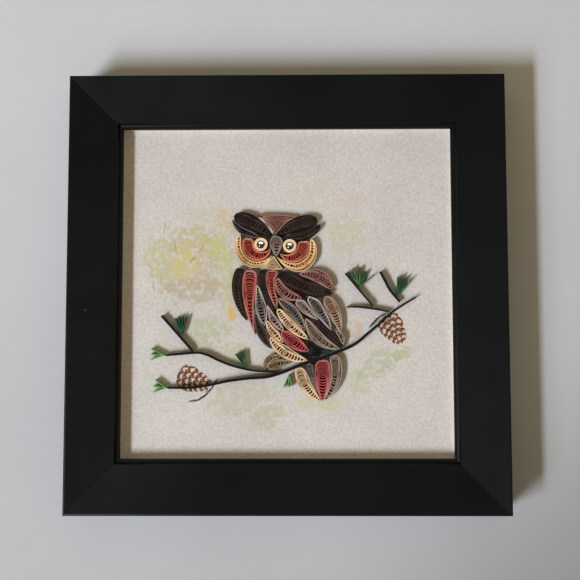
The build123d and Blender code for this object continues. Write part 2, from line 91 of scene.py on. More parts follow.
# Coils pinched three times: their spokes, and the stretch over which pressure is evened out
SPOKE_COUNT = 192
SPOKE_REACH = 3
ROUNDING_PACE = 0.9
CORNER_LENGTH = 0.8

# Turns, as shares of the half width unless said: the most that the rim may take, how much more
# the rim's turns draw in at the pinches, the gap inside the rim in millimetres and its most, how
# round the turns' ends are and how soon they become so; the eye's width, how long it is for that
# and at most, how many turns it has and how far it shrinks
RIM_MOST = 0.3
RIM_PINCH = 1.6
RIM_CLEARANCE = 0.18
CLEARANCE_MOST = 0.12
END_ROUNDNESS = 0.6
BLUNT_PACE = 8
LEAST_TURNS = 2
MOST_TURNS = 10
EYE_SHARE = 0.36
EYE_LENGTHENING = 1.1
EYE_LONGEST = 0.5
EYE_TURNS = 1.6
EYE_SHRINK = 0.8

# How far the loose turns wander along a coil, how thick they are drawn as a share of their step,
# and the least of that; then the paces of the noise in their places and in their upper edges
WANDER = 0.05
TURN_FILL = 0.37
TURN_LEAST = 0.05
PLACE_PACE = 2.3
EDGE_PACE = 1.7

# Coils in the order they are glued: start, end, bow to the left of that way or the two points
# that pull the middle line off it, width, pinches, then the paper of the rim and of the turns
LEAVES = {
    "beak_coil": (-4.9 + 16.2j, -4.9 + 25.9j, 0.0, 5.0, FINE, ROUND, "lilac", "taupe"),
    "left_brow_upper": (-24.6 + 35.2j, -7.4 + 26.2j, 1.4, 5.8, ROUND, SHARP, "black", "soot"),
    "left_brow_lower": (-25.4 + 33.7j, -8.6 + 25.0j, -2.2, 3.6, SOFT, SHARP, "charcoal", "soot"),
    "crown_band": (-15.8 + 36.2j, -6.2 + 26.8j, 1.2, 1.7, SHARP, SHARP, "pale_pink", "pale_pink"),
    "right_brow_upper": (-4.8 + 26.2j, 14.2 + 33.5j, 1.5, 5.5, SHARP, ROUND, "black", "soot"),
    "right_brow_lower": (-3.0 + 25.0j, 15.7 + 31.2j, -1.9, 4.4, SHARP, SOFT, "black", "soot"),
    "left_cheek_inner": (
        -17.4 + 25.9j, -7.4 + 20.3j, (-20.5 + 17.0j, -10.8 + 13.5j), 5.5, SQUARE, SHARP, "peach", "brick",
    ),
    "right_cheek_inner": (
        8.2 + 24.9j, -3.3 + 17.8j, (8.6 + 18.0j, 2.4 + 12.4j), 5.4, SQUARE, SHARP, "peach", "brick",
    ),
    "left_cheek_outer": (
        -21.8 + 27.4j, -6.9 + 16.9j, (-25.9 + 14.9j, -13.1 + 7.6j), 3.6, ROUND, SHARP, "cream", "gold",
    ),
    "right_cheek_outer": (
        10.9 + 25.9j, -4.9 + 16.6j, (14.6 + 13.0j, 5.0 + 5.6j), 4.3, ROUND, SHARP, "cream", "gold",
    ),
    "shoulder_black": (-3.4 + 8.8j, 21.0 - 0.6j, -1.8, 6.5, ROUND, SOFT, "black", "soot"),
    "shoulder_mauve": (3.8 + 7.8j, 20.8 + 1.4j, 3.1, 5.6, SHARP, SOFT, "rose", "mauve"),
    "wing_red": (-16.8 + 10.1j, -14.7 - 19.6j, -1.8, 5.6, SQUARE, FINE, "pink", "coral"),
    "wing_black": (-21.3 + 11.0j, -18.7 - 13.2j, -2.9, 4.7, SQUARE, SHARP, "black", "soot"),
    "breast_mauve": (-4.5 + 6.7j, 6.9 - 2.9j, -2.7, 5.4, SOFT, SHARP, "rose", "mauve"),
    "breast_red": (-6.9 + 10.0j, -4.8 - 8.0j, -0.5, 5.4, SQUARE, SHARP, "rose", "brick"),
    "breast_black": (-11.6 + 10.2j, -4.7 - 11.6j, -1.5, 3.2, SQUARE, SHARP, "black", "soot"),
    "wing_grey": (-14.1 + 4.6j, -10.3 - 15.6j, -0.2, 5.0, SHARP, SHARP, "white_lilac", "slate"),
    "feather_tan": (17.4 - 1.6j, 24.9 - 18.4j, 0.7, 5.2, ROUND, SHARP, "stone", "tan"),
    "feather_grey_right": (9.8 - 2.2j, 20.3 - 17.8j, 0.8, 4.6, ROUND, SHARP, "white_lilac", "slate"),
    "feather_pale": (3.7 - 3.8j, 14.3 - 12.9j, 0.3, 4.3, ROUND, SHARP, "white_lilac", "rose_grey"),
    "feather_grey_middle": (-3.9 - 3.2j, 8.4 - 18.0j, 1.2, 4.2, ROUND, SOFT, "rose_grey", "slate"),
    "feather_cream_upper": (-5.2 - 7.0j, 9.8 - 22.0j, -0.8, 4.7, SOFT, SHARP, "cream", "sand"),
    "feather_taupe_left": (-9.4 - 5.2j, -1.6 - 18.0j, -0.9, 4.2, SHARP, SHARP, "pale_pink", "rose_grey"),
    "feather_taupe": (8.6 - 12.2j, 25.2 - 26.5j, -3.2, 4.8, SOFT, SHARP, "stone", "taupe"),
    "feather_black": (9.9 - 11.6j, 25.9 - 25.4j, 0.3, 3.6, SHARP, SHARP, "black", "soot"),
    "feather_taupe_right": (20.9 - 12.6j, 26.0 - 24.4j, 0.2, 3.2, SHARP, SHARP, "stone", "taupe"),
    "feather_red": (-5.6 - 14.6j, 9.9 - 27.4j, -1.1, 5.2, SOFT, SHARP, "pink", "crimson"),
    "feather_cream_middle": (-9.8 - 11.8j, 1.4 - 25.4j, -1.6, 3.9, SOFT, SHARP, "pale_peach", "sand"),
    "feather_cream_lower": (-8.0 - 20.4j, 9.5 - 31.6j, -2.4, 4.7, SOFT, SHARP, "pale_peach", "sand"),
    "wing_black_lower": (-15.2 - 6.6j, -5.3 - 27.8j, -2.0, 4.2, SHARP, SOFT, "charcoal", "soot"),
    "foot_lower": (-9.0 - 35.0j, 6.4 - 32.2j, 0.8, 3.8, ROUND, SHARP, "khaki", "olive"),
    "foot_upper": (-10.3 - 35.5j, -0.2 - 30.9j, 3.0, 3.6, SOFT, SHARP, "khaki", "olive"),
    "tail_red": (16.2 - 30.8j, 16.3 - 50.0j, 0.0, 6.0, SQUARE, SOFT, "pink", "crimson"),
    "tail_taupe": (21.4 - 29.4j, 17.1 - 49.8j, 2.9, 4.9, SQUARE, SOFT, "stone", "taupe"),
    "tail_cream": (5.5 - 35.1j, 15.7 - 50.2j, -1.9, 5.0, BLUNT, SHARP, "cream", "sand"),
    "tail_grey": (9.9 - 32.6j, 14.0 - 47.0j, 0.0, 5.6, ROUND, FINE, "charcoal", "slate"),
    "belly_black_lower": (0.0 - 24.6j, 11.6 - 29.9j, -0.5, 3.0, SHARP, SHARP, "black", "black"),
}

# Coils pinched three times: corners clockwise, how far the side after each one swells, papers
TRIANGLES = {
    "crown_coil": ((-13.6 + 36.0j, 5.2 + 35.2j, -5.3 + 26.4j), (0.5, -0.9, 0.3), "rose", "mauve"),
    "chin_coil": ((-12.6 + 10.7j, -6.0 + 17.1j, -1.2 + 10.3j), (-0.5, -0.2, 0.3), "cream", "sand"),
    "belly_black": ((9.8 - 20.8j, 24.2 - 27.3j, 8.6 - 31.2j), (0.6, 0.6, 0.6), "black", "black"),
}

# Coils whose turns are packed to one side, as a share of the room, to the left of their way
LEANS = {"left_cheek_outer": 0.8, "right_cheek_outer": -0.8}

# Branch strips: points along the middle, thickness at the start, in the middle, at the end
BRANCHES = {
    "branch_main": (
        (-55 - 44.1j, -45 - 44.1j, -37 - 43.1j, -28 - 41.2j, -18 - 39.8j, -9 - 39.1j,
         -1.3 - 36.8j, 6 - 33.8j, 15 - 30.8j, 24 - 27.5j, 31.2 - 24.2j, 37.2 - 19.3j,
         43.2 - 14.3j, 48.9 - 9.1j, 59.6 - 2.5j),
        0.9, 1.4, 0.8,
    ),
    "branch_left": (
        (-56 - 29.1j, -50.9 - 28.7j, -45 - 28.2j, -41 - 28.0j, -36.9 - 29.0j, -31.8 - 31.4j,
         -26.6 - 33.5j, -21.2 - 35.1j, -15.7 - 36.2j, -10 - 36.7j, -4.9 - 36.9j),
        0.9, 1.05, 0.6,
    ),
}
TWIGS = (
    ((-58.0 - 10.9j, -43.7 - 27.1j), 1.1, 1.0, 0.9),
    ((27.6 - 7.0j, 33 - 7.0j, 38.5 - 7.6j, 43.6 - 8.4j, 47.2 - 9.2j), 0.4, 0.7, 0.5),
    ((27.1 + 8.7j, 33.5 + 0.9j, 39.7 - 6.4j), 0.6, 0.55, 0.5),
    ((43.3 + 9.4j, 45.5 + 5.2j, 47.8 + 0.8j, 52.2 - 4.7j), 0.8, 0.9, 0.6),
    ((38.0 - 16.4j, 41.7 - 12.3j, 45.4 - 10.5j), 0.4, 0.5, 0.4),
)

# Needle tufts: the foot, then the tip of each needle from left to right
# and how sunlit its paper is, from 0 to 1
TUFTS_LEFT = (
    (-48.6 - 19.3j, (-51.8 - 12.0j, -50.0 - 11.4j, -48.3 - 11.2j, -46.4 - 11.4j), 0.0),
    (-56.9 - 29.0j, (-63.0 - 31.0j, -63.0 - 28.6j, -62.9 - 26.1j), 1.0),
    (-55.8 - 44.1j, (-61.7 - 46.0j, -61.6 - 43.3j, -60.7 - 40.4j), 1.0),
    (-19.1 - 34.7j, (-23.8 - 28.6j, -21.5 - 27.4j, -19.9 - 27.3j), 0.1),
)
TUFTS_RIGHT = (
    (0.8 - 38.3j, (2.3 - 43.4j, 0.5 - 43.8j, -1.6 - 43.9j), 0.8),
    (33.8 + 2.5j, (28.6 + 9.3j, 30.6 + 11.0j, 33.9 + 11.4j, 36.8 + 9.6j, 40.3 + 8.0j), 0.12),
    (50.9 - 1.7j, (51.3 + 6.8j, 53.4 + 7.5j, 55.6 + 6.9j, 57.8 + 6.3j), 0.12),
)

# Strips of the branches and twigs: how many side by side, points along them, gap between them
BRANCH_STRIPS = 3
BRANCH_POINTS = 120
TWIG_STRIPS = 2
TWIG_POINTS = 40
STRIP_GAP = 0.03

NEEDLE_THICKNESS = 0.42
NEEDLE_POINTS = 12
NEEDLE_BOW = 0.12
NEEDLE_DROP = 0.15

EYE_CENTRES = (-12.1 + 22.1j, 1.3 + 21.4j)
EYE_RADIUS = 3.2
EYE_HOLE_RADIUS = 1.8
EYE_POINTS = 48
ROLL_TURNS = 6
ROLL_GAP = 0.025
ROLL_DIP = 0.08
BEAD_CLEARANCE = 0.05
BEAD_CYLINDER = 2.5
BEAD_DOME = 0.9
BEAD_RINGS = 14

# Frame moulding, as the solids have it
OUTER_EDGE_RADIUS = 1.0
LIP_THICKNESS = 4.0
STEP_DROP = 1.4
STEP_RUN = 0.6
STEP_LAND = 1.6
RABBET_WIDTH = 6.0
FLAT_MARGIN = 0.4

# Camera solved from the frame's corners in the photograph
CAMERA_PLACE = (7.343, -35.051, 462.010)
CAMERA_TURN = (0.0807, 0.0134, -0.0013)
CAMERA_LENS = 59.815
SENSOR_WIDTH = 36.0

# The stage: half the floor's side and its height in metres, the lights' colours, and the watts of
# the window that only the beads show
FLOOR_REACH = 1.5
FLOOR_LEVEL = -0.00002
DAYLIGHT = (0.84, 0.90, 1.0)
WINDOW_COLOUR = (1.0, 0.97, 0.93)
WINDOW_POWER = 150.0
FILL_COLOUR = (1.0, 0.83, 0.54, 1)

# The middle part of a noise's range, which carries nearly all of its values
NOISE = (0.3, 0.7)


def linear(red, green, blue):
    """A colour as seen on a display, 0 to 255, turned into the renderer's linear values."""
    shown = np.array([red, green, blue]) / 255
    low = shown / 12.92
    high = ((shown + 0.055) / 1.055) ** 2.4
    return tuple(float(value) for value in np.where(shown <= 0.04045, low, high))


# Settings a user would change


def colour_property(name, description, shown):
    """A colour in a property group, with its default given as a display shows it."""
    return bpy.props.FloatVectorProperty(
        name=name, description=description, subtype="COLOR", size=3, min=0.0, max=1.0,
        default=linear(*shown),
    )


def length_property(name, description, millimetres):
    """A length in a property group, with its default given in millimetres."""
    return bpy.props.FloatProperty(
        name=name, description=description, subtype="DISTANCE", unit="LENGTH",
        default=millimetres * MM, min=0.0, precision=5,
    )


def number_property(name, description, default, **limits):
    """A plain number in a property group."""
    return bpy.props.FloatProperty(name=name, description=description, default=default, **limits)


class PaperSettings(bpy.types.PropertyGroup):
    """The strips that the coils are rolled from."""

    thickness: length_property("Strip thickness", "Thickness of one turn of paper", 0.2)
    rim_gap: length_property("Rim gap", "Gap between the tight turns of a rim", 0.03)
    rim_turns: number_property("Rim turns", "Tight turns in the rim of a coil", 1.7, min=1.0, max=6.0)
    turn_step: length_property("Turn step", "From one loose turn to the next along a coil", 1.35)
    arc_thickness: length_property("Arc thickness", "Thickness of a loose turn where it crosses a coil", 0.5)
    fullness: number_property("Fullness", "How far a coil swells", 1.24, min=0.5, max=1.5)
    coil_gap: length_property("Coil gap", "Gap between one coil and the next", 0.03)
    unevenness: length_property("Unevenness", "How far the turns' upper edges differ in height", 0.22)
    seed: bpy.props.IntProperty(name="Seed", description="Changes how the turns wander", default=7, min=0)


# The papers: what each is for, and its colour as a display shows it
PAPERS = {
    "black": ("Brows, shoulder and dark feathers", (20, 18, 20)),
    # The black coils' turns are lighter than their black rims: partly the paper's own dark brown, partly a
    # painted highlight on their upper edges
    "soot": ("Turns of the black coils", (60, 38, 34)),
    "charcoal": ("Grey rims on black", (98, 94, 96)),
    "slate": ("Grey feathers", (114, 105, 101)),
    "lilac": ("Rim of the beak", (156, 148, 154)),
    "white_lilac": ("Pale rims of grey feathers", (194, 178, 168)),
    "pale_pink": ("Band beside the crown", (200, 176, 170)),
    "rose_grey": ("Pale feathers", (164, 138, 128)),
    "rose": ("Rims of the mauve coils", (178, 126, 117)),
    "mauve": ("Crown and breast", (154, 100, 91)),
    "pink": ("Rims of the red coils", (198, 120, 112)),
    "coral": ("Red of the wing", (176, 75, 62)),
    "brick": ("Inner cheeks", (182, 76, 60)),
    "crimson": ("Red feathers", (184, 68, 72)),
    "peach": ("Rims of the inner cheeks", (226, 150, 116)),
    "pale_peach": ("Rims of the cream feathers", (240, 202, 160)),
    "cream": ("Outer cheeks, rolls and cream feathers", (246, 208, 158)),
    "gold": ("Turns of the outer cheeks", (242, 174, 106)),
    "sand": ("Turns of the cream feathers", (226, 190, 150)),
    "tan": ("Tan feather", (178, 142, 114)),
    "stone": ("Rims of the taupe feathers", (174, 156, 138)),
    "taupe": ("Taupe feathers", (146, 125, 108)),
    "khaki": ("Rims of the feet", (164, 143, 110)),
    "olive": ("Feet", (140, 120, 91)),
    "bark": ("Branches and twigs", (20, 15, 14)),
    "dark_green": ("Shaded needles", (34, 88, 62)),
    "green": ("Sunlit needles", (108, 160, 90)),
}


class PaperColours(bpy.types.PropertyGroup):
    """The colours of the papers."""

    __annotations__ = {
        name: colour_property(name.replace("_", " ").capitalize(), use, shown)
        for name, (use, shown) in PAPERS.items()
    }


class FrameSettings(bpy.types.PropertyGroup):
    """The shadow frame and what it holds."""

    paint: colour_property("Paint", "Satin black of the rails", (12, 16, 18))
    mitre_bevel: length_property("Mitre bevel", "Rounding of each mitre's edges", 0.14)
    card: colour_property("Card", "Bare watercolour paper", (216, 210, 204))
    spacer: colour_property("Spacer", "Cream mount board", (226, 216, 202))
    board: colour_property("Board", "Fibre board behind the card", (160, 132, 98))


class StageSettings(bpy.types.PropertyGroup):
    """Floor and light."""

    floor: colour_property("Floor", "Pale table", (203, 204, 207))
    key_power: number_property("Key power", "Watts of the tall soft light at the left", 62.0, min=0.0)
    glow_power: number_property("Glow power", "Watts of the wider and lower light beside it", 9.0, min=0.0)
    fill: number_property("Fill", "Strength of the even warm light", 0.32, min=0.0)


# Meshes


def placed(name, data):
    """A new object, linked to the scene."""
    thing = bpy.data.objects.new(name, data)
    bpy.context.scene.collection.objects.link(thing)
    return thing


def new_piece(name, surface, material, node, depth=None, smooth=30.0):
    """A mesh object from an array of corners in millimetres and a list of faces, riding on the
    body, standing for the CAD node named, with the material given. Paper strips, whose corners
    come in fours, keep their depth into a coil and which corners are on top."""
    corners, faces = surface
    mesh = bpy.data.meshes.new(name)
    mesh.from_pydata((corners * MM).tolist(), [], [list(map(int, face)) for face in faces])
    if depth is not None:
        top = np.tile([0.0, 1.0, 1.0, 0.0], len(corners) // 4)
        for label, values in (("depth", np.broadcast_to(depth, len(corners))), ("top", top)):
            layer = mesh.attributes.new(label, "FLOAT", "POINT")
            layer.data.foreach_set("value", np.asarray(values, np.float32))
    mesh.shade_smooth()
    mesh.set_sharp_from_angle(angle=math.radians(smooth))
    mesh.materials.append(material)
    piece = placed(name, mesh)
    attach(piece, ROOT)
    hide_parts(node)
    return piece


def grid_faces(rows, columns):
    """Four corners of each cell of a grid whose points are numbered row by row, each row joined
    into a ring."""
    row, column = np.meshgrid(np.arange(rows - 1), np.arange(columns), indexing="ij")
    ahead = (column + 1) % columns
    start, above = row * columns, (row + 1) * columns
    return np.stack([start + column, start + ahead, above + ahead, above + column], axis=-1).reshape(-1, 4)


def leftward(path):
    """Unit vectors to the left of a path of complex numbers, whose way comes from neighbours."""
    way = np.gradient(path)
    size = np.abs(way)
    size[size < 1e-9] = 1
    return 1j * way / size


def ribbon(path, thickness, high):
    """A paper strip on edge: at each point of the path four corners stand half the thickness to
    its left and right, on the card and at the height given, and a face closes each end."""
    off = leftward(path) * thickness / 2
    low = np.full(len(path), CARD_TOP)
    high = np.broadcast_to(high, path.shape)
    lines = ((path + off, low), (path + off, high), (path - off, high), (path - off, low))
    corners = np.stack([np.stack([line.real, line.imag, height], -1) for line, height in lines], axis=1)
    faces = grid_faces(len(path), 4).tolist()
    last = 4 * (len(path) - 1)
    faces += [[3, 2, 1, 0], [last, last + 1, last + 2, last + 3]]
    return corners.reshape(-1, 3), faces


def joined(parts):
    """Several (corners, faces) pairs as one, the faces' numbers moved on by the corners before."""
    corners = []
    faces = []
    count = 0
    for part_corners, part_faces in parts:
        corners.append(part_corners)
        faces += [[corner + count for corner in face] for face in part_faces]
        count += len(part_corners)
    return np.concatenate(corners), faces


def wander(rng, values, pace):
    """A smooth line of noise between -1 and 1 over the values: three sines with seeded phases."""
    phases = rng.uniform(0, 2 * math.pi, 3)
    return sum(np.sin(values * pace * (1 + 0.6 * k) + phase) for k, phase in enumerate(phases)) / 3


# Coils


def spine(leaf, share, across):
    """Places at shares of a leaf coil's bent middle line, a cubic curve, moved to its left."""
    start, end, bend = leaf[0] * FIT, leaf[1] * FIT, leaf[2]
    if isinstance(bend, tuple):
        first, second = bend[0] * FIT, bend[1] * FIT
    else:
        off = 1j * (end - start) / abs(end - start) * bend * FIT * 4 / 3
        first = start + (end - start) / 3 + off
        second = end - (end - start) / 3 + off
    rest = 1 - share
    place = rest ** 3 * start + 3 * rest ** 2 * share * first
    place = place + 3 * rest * share ** 2 * second + share ** 3 * end
    way = rest ** 2 * (first - start) + 2 * rest * share * (second - first) + share ** 2 * (end - second)
    return place + 1j * way / np.abs(way) * across


def width_curve(share, start_power, end_power):
    """A coil's width along its length, from 0 at each pinch to 1 at the widest place: a power of
    the share from each end, set so that the two meet there."""
    widest = start_power / (start_power + end_power)
    share = np.clip(share, 0, 1)
    return (share / widest) ** start_power * ((1 - share) / (1 - widest)) ** end_power


def segments(outlines):
    """All sides of the closed outlines, as an array of starts and one of ends."""
    starts = np.concatenate(outlines)
    ends = np.concatenate([np.roll(outline, -1) for outline in outlines])
    return starts, ends


def cross(a, b):
    """The cross product of plane vectors."""
    return (np.conj(a) * b).imag


def covered(points, outlines):
    """Which points lie within any of the closed outlines, by counting crossings to the right."""
    hit = np.zeros(len(points), bool)
    for outline in outlines:
        a, b = outline[None, :], np.roll(outline, -1)[None, :]
        point = points[:, None]
        spans = (a.imag > point.imag) != (b.imag > point.imag)
        with np.errstate(divide="ignore", invalid="ignore"):
            at = a.real + (point.imag - a.imag) * (b.real - a.real) / (b.imag - a.imag)
        hit |= (np.sum(spans & (at > point.real), axis=1) % 2) == 1
    return hit


def nearest(points, outlines):
    """The least distance from each point to a side of the outlines."""
    a, b = segments(outlines)
    along = (b - a)[None, :]
    away = points[:, None] - a[None, :]
    share = np.clip((np.conj(along) * away).real / np.maximum(np.abs(along) ** 2, 1e-12), 0, 1)
    return np.abs(away - share * along).min(axis=1)


def free_reach(points, ways, limits, outlines, gap):
    """How far from each point, along its unit vector, a coil may swell before its neighbours stop
    it: the nearest crossing with a side, less the gap measured square to that side."""
    a, b = segments(outlines)
    along = (b - a)[None, :]
    turn = cross(ways[:, None], along)
    away = a[None, :] - points[:, None]
    with np.errstate(divide="ignore", invalid="ignore"):
        distance = cross(away, along) / turn
        share = cross(away, ways[:, None]) / turn
        slant = np.minimum(np.abs(along) / np.abs(turn), SLANT_LIMIT)
        met = (np.abs(turn) > 1e-9) & (distance > 0) & (share >= 0) & (share <= 1)
        reach = np.where(met, distance - gap * slant, np.inf).min(axis=1)
    return np.maximum(np.minimum(reach, limits), 0)


def eased(ratios, reach, closed=False):
    """Each ratio's least value within the reach, then a mean over the same stretch, so that the
    line is smooth and never above the ratios given."""
    mode = "wrap" if closed else "edge"
    size = 2 * reach + 1
    padded = np.pad(ratios, reach, mode=mode)
    least = np.lib.stride_tricks.sliding_window_view(padded, size).min(axis=1)
    padded = np.pad(least, reach, mode=mode)
    return np.lib.stride_tricks.sliding_window_view(padded, size).mean(axis=1)


def leaf_coil(leaf, outlines, gap, fullness, lean):
    """A coil pinched at both ends. Returns a function of arrays (turn angle from 0 to 1, scale
    across, scale along) that gives places on a nested turn, its half width and its half length.
    A turn is as wide as its share of the outline, closed at both ends by quarter ellipses, and
    leans to one side by a share of the room left beside it."""
    width, start_power, end_power = leaf[3] * FIT * fullness, leaf[4], leaf[5]
    probes = np.linspace(0, 1, PROBE_COUNT + 1)
    places = spine(leaf, probes, 0)
    free = ~covered(places, outlines) & (nearest(places, outlines) > gap + PINCH)
    edges = np.flatnonzero(np.diff(np.concatenate([[0], free.astype(int), [0]])))
    begins, ends = edges[::2], edges[1::2] - 1
    longest = np.argmax(ends - begins)
    first, last = probes[begins[longest]], probes[ends[longest]]
    span = last - first
    shares = (1 - np.cos(np.pi * np.linspace(0, 1, 4 * HALF_TURN + 1))) / 2
    full = width / 2 * width_curve(shares, start_power, end_power)
    middle = spine(leaf, first + span * shares, 0)
    pressed = []
    for side in (1, -1):
        ways = spine(leaf, first + span * shares, side) - middle
        reach = free_reach(middle, ways, full, outlines, gap)
        ratios = np.maximum(reach, np.minimum(PINCH, full)) / np.maximum(full, PINCH)
        ratios[0], ratios[-1] = ratios[1], ratios[-2]
        pressed.append(eased(ratios, PRESS_REACH))
    focus = start_power / (start_power + end_power)
    length = np.sum(np.abs(np.diff(middle)))
    core = 0.5 + (focus - 0.5) * min(max(CORE_LENGTH / length, CORE_LEAST), 1)

    def place_at(turn, across, along):
        angle = 2 * np.pi * (turn % 1)
        side = np.where(angle <= np.pi, 1, -1)
        bare = (1 - np.cos(angle)) / 2
        share = core + along * (bare - core)
        curve = width / 2 * width_curve(share, start_power, end_power)
        left = curve * np.interp(share, shares, pressed[0])
        right = curve * np.interp(share, shares, pressed[1])
        room = np.where(side > 0, left, right)
        blunt = np.clip((1 - along) * BLUNT_PACE, 0, 1)
        cap = END_ROUNDNESS * np.maximum(across * (left + right) / 2, 1e-6)
        from_start = np.clip(bare * along * length / cap, 0, 1)
        from_end = np.clip((1 - bare) * along * length / cap, 0, 1)
        closed = np.sqrt(1 - (1 - from_start) ** 2) * np.sqrt(1 - (1 - from_end) ** 2)
        reach = across * room * (1 + blunt * (closed - 1))
        drift = lean * (1 - across) * blunt * np.minimum(left, right)
        return spine(leaf, first + span * share, side * reach + drift)

    wide = np.concatenate([full * pressed[0], full * pressed[1]])
    half_width = np.sort(wide)[len(wide) // 3:].mean()
    return place_at, half_width, length * max(core, 1 - core)


def triangle_coil(shape, outlines, gap):
    """A coil pinched three times, as leaf_coil gives one pinched twice: spokes from its centre
    to the sides, which swell as a parabola, shortened where a neighbour presses."""
    corners = np.array(shape[0]) * FIT
    swells = np.array(shape[1]) * FIT
    centre = corners.mean()
    position = np.arange(SPOKE_COUNT) * 3 / SPOKE_COUNT
    side = position.astype(int)
    share = position - side
    a, b = corners[side], corners[(side + 1) % 3]
    swell = 1j * (b - a) / np.abs(b - a) * swells[side] * 4 * share * (1 - share)
    spokes = a + share * (b - a) + swell - centre
    length = np.abs(spokes)
    reach = free_reach(np.full(SPOKE_COUNT, centre), spokes / length, length, outlines, gap)
    pressed = spokes * eased(reach / length, SPOKE_REACH, closed=True)
    ring = np.append(pressed, pressed[0])
    steps = np.linspace(0, 1, SPOKE_COUNT + 1)
    inner = np.abs(pressed).min()

    def place_at(turn, across, along):
        at = turn % 1
        spoke = np.interp(at, steps, ring.real) + 1j * np.interp(at, steps, ring.imag)
        rounder = spoke / np.maximum(np.abs(spoke), 1e-9) * inner
        ease = np.clip((1 - along) * ROUNDING_PACE, 0, 1)
        return centre + across * (spoke + ease * (rounder - spoke))

    return place_at, inner, length.max() * CORNER_LENGTH


def coil_paths(place_at, half_width, half_length, paper, rng):
    """The middle line of a coil's strip, wound inwards: tight rim turns, then loose turns that
    step evenly along the coil and are packed at its sides, then a round eye that shrinks to
    nothing. Returns the path, how far in each point is (0 at the rim, 1 in the eye), the turn
    number and the strip's thickness there."""
    thick = paper.thickness / MM
    tight = (thick + paper.rim_gap / MM) / half_width
    start = thick / 2 / half_width
    rim = min(paper.rim_turns, max(RIM_MOST / tight, 1.0))
    drop = RIM_PINCH * rim * tight * half_width / half_length
    eye_along = min(EYE_LENGTHENING * EYE_SHARE * half_width / half_length, EYE_LONGEST)
    room = half_length * (1 - drop - eye_along)
    count = int(np.clip(round(room / (paper.turn_step / MM)), LEAST_TURNS, MOST_TURNS))
    end = rim + count + EYE_TURNS
    turn = np.linspace(0, end, int(end * 2 * HALF_TURN) + 1)
    rim_share = np.clip(turn / rim, 0, 1)
    loose = np.clip((turn - rim) / count, 0, 1)
    shrunk = 1 - EYE_SHRINK * np.clip((turn - rim - count) / EYE_TURNS, 0, 1)
    inside_rim = 1 - start - tight * rim
    open_gap = min(RIM_CLEARANCE / half_width, CLEARANCE_MOST) * np.clip(2 * (turn - rim), 0, 1)
    packed = (inside_rim - CLEARANCE_MOST - EYE_SHARE) * loose
    across = (1 - start - tight * rim * rim_share - open_gap - packed) * shrunk
    along = (1 - drop * rim_share - (1 - drop - eye_along) * loose) * shrunk
    along = along * (1 + WANDER * wander(rng, turn, PLACE_PACE) * np.clip(loose * 5, 0, 1))
    path = place_at(turn, across, np.clip(along, 0.01, 1))
    step = np.abs(np.roll(path, -2 * HALF_TURN) - path)
    step[-2 * HALF_TURN:] = step[-2 * HALF_TURN - 1]
    inner = np.clip(TURN_FILL * step, TURN_LEAST, paper.arc_thickness / MM)
    thickness = np.where(turn < rim, thick, inner)
    return path, np.clip((turn - rim + 0.5) / (count + 0.5), 0, 1), turn, thickness


def coil_piece(node, coil, material, paper, rng):
    """One coil: a ribbon along its wound path, whose upper edge rises and falls a little from
    turn to turn, more so towards the eye."""
    path, depth, turn, thickness = coil_paths(*coil, paper, rng)
    dip = 0.5 * (1 + wander(rng, turn, EDGE_PACE)) * (paper.unevenness / MM) * (0.25 + 0.75 * depth)
    strip = ribbon(path, thickness, PAPER_TOP - dip)
    return new_piece(node + "_strip", strip, material, node, np.repeat(depth, 4))


# Shader node groups and materials


class Value:
    """A value, colour or place in a shader tree, with which sums are written as with numbers."""

    def __init__(self, socket):
        self.socket = socket
        self.tree = socket.id_data

    def maths(self, operation, other=0.0, clamp=False):
        """The result of a Math node."""
        return add(self.tree, "Math", {0: self, 1: other}, operation=operation, use_clamp=clamp)

    def __add__(self, other):
        return self.maths("ADD", other)

    def __sub__(self, other):
        return self.maths("SUBTRACT", other)

    def __rsub__(self, other):
        return add(self.tree, "Math", {0: other, 1: self}, operation="SUBTRACT")

    def __mul__(self, other):
        return self.maths("MULTIPLY", other)

    def __truediv__(self, other):
        return self.maths("DIVIDE", other)


def feed(sockets, values):
    """Link or set each of the sockets named."""
    for key, value in values.items():
        if isinstance(value, Value):
            value.tree.links.new(value.socket, sockets[key])
        else:
            sockets[key].default_value = value


def add(tree, kind, inputs, *wanted, **settings):
    """A node with its settings and with values or links for the inputs named. Returns the outputs
    wanted, or else its first one."""
    node = tree.nodes.new("ShaderNode" + kind)
    for key, value in settings.items():
        setattr(node, key, value)
    feed(node.inputs, inputs)
    found = [Value(node.outputs[key]) for key in wanted or (0,)]
    return found if len(found) > 1 else found[0]


def own_place(tree):
    """Places in a piece's own space, in metres."""
    return add(tree, "TexCoord", {}, "Object")


def noise(place, scale, detail, **more):
    """The value of a Noise Texture node."""
    return add(place.tree, "TexNoise", {"Vector": place, "Scale": scale, "Detail": detail, **more})


def mixed(factor, a, b):
    """The result of a colour Mix node."""
    return add(factor.tree, "Mix", {0: factor, 6: a, 7: b}, 2, data_type="RGBA")


def scaled(colour, factor):
    """A colour or a place times a value."""
    tree = (factor if isinstance(factor, Value) else colour).tree
    return add(tree, "VectorMath", {0: colour, "Scale": factor}, operation="SCALE")


def ramped(value, low, high, to_low=0.0, to_high=1.0, smooth=True):
    """A value carried from one range to another, held at both ends."""
    inputs = {"Value": value, "From Min": low, "From Max": high, "To Min": to_low, "To Max": to_high}
    return add(value.tree, "MapRange", inputs, interpolation_type="SMOOTHSTEP" if smooth else "LINEAR")


def varied(value, to_low, to_high):
    """A noise carried to another range in a straight line."""
    return ramped(value, *NOISE, to_low, to_high, smooth=False)


SOCKET_KINDS = {float: "NodeSocketFloat", tuple: "NodeSocketColor", type(None): "NodeSocketVector"}
WHITE = (1.0, 1.0, 1.0, 1.0)


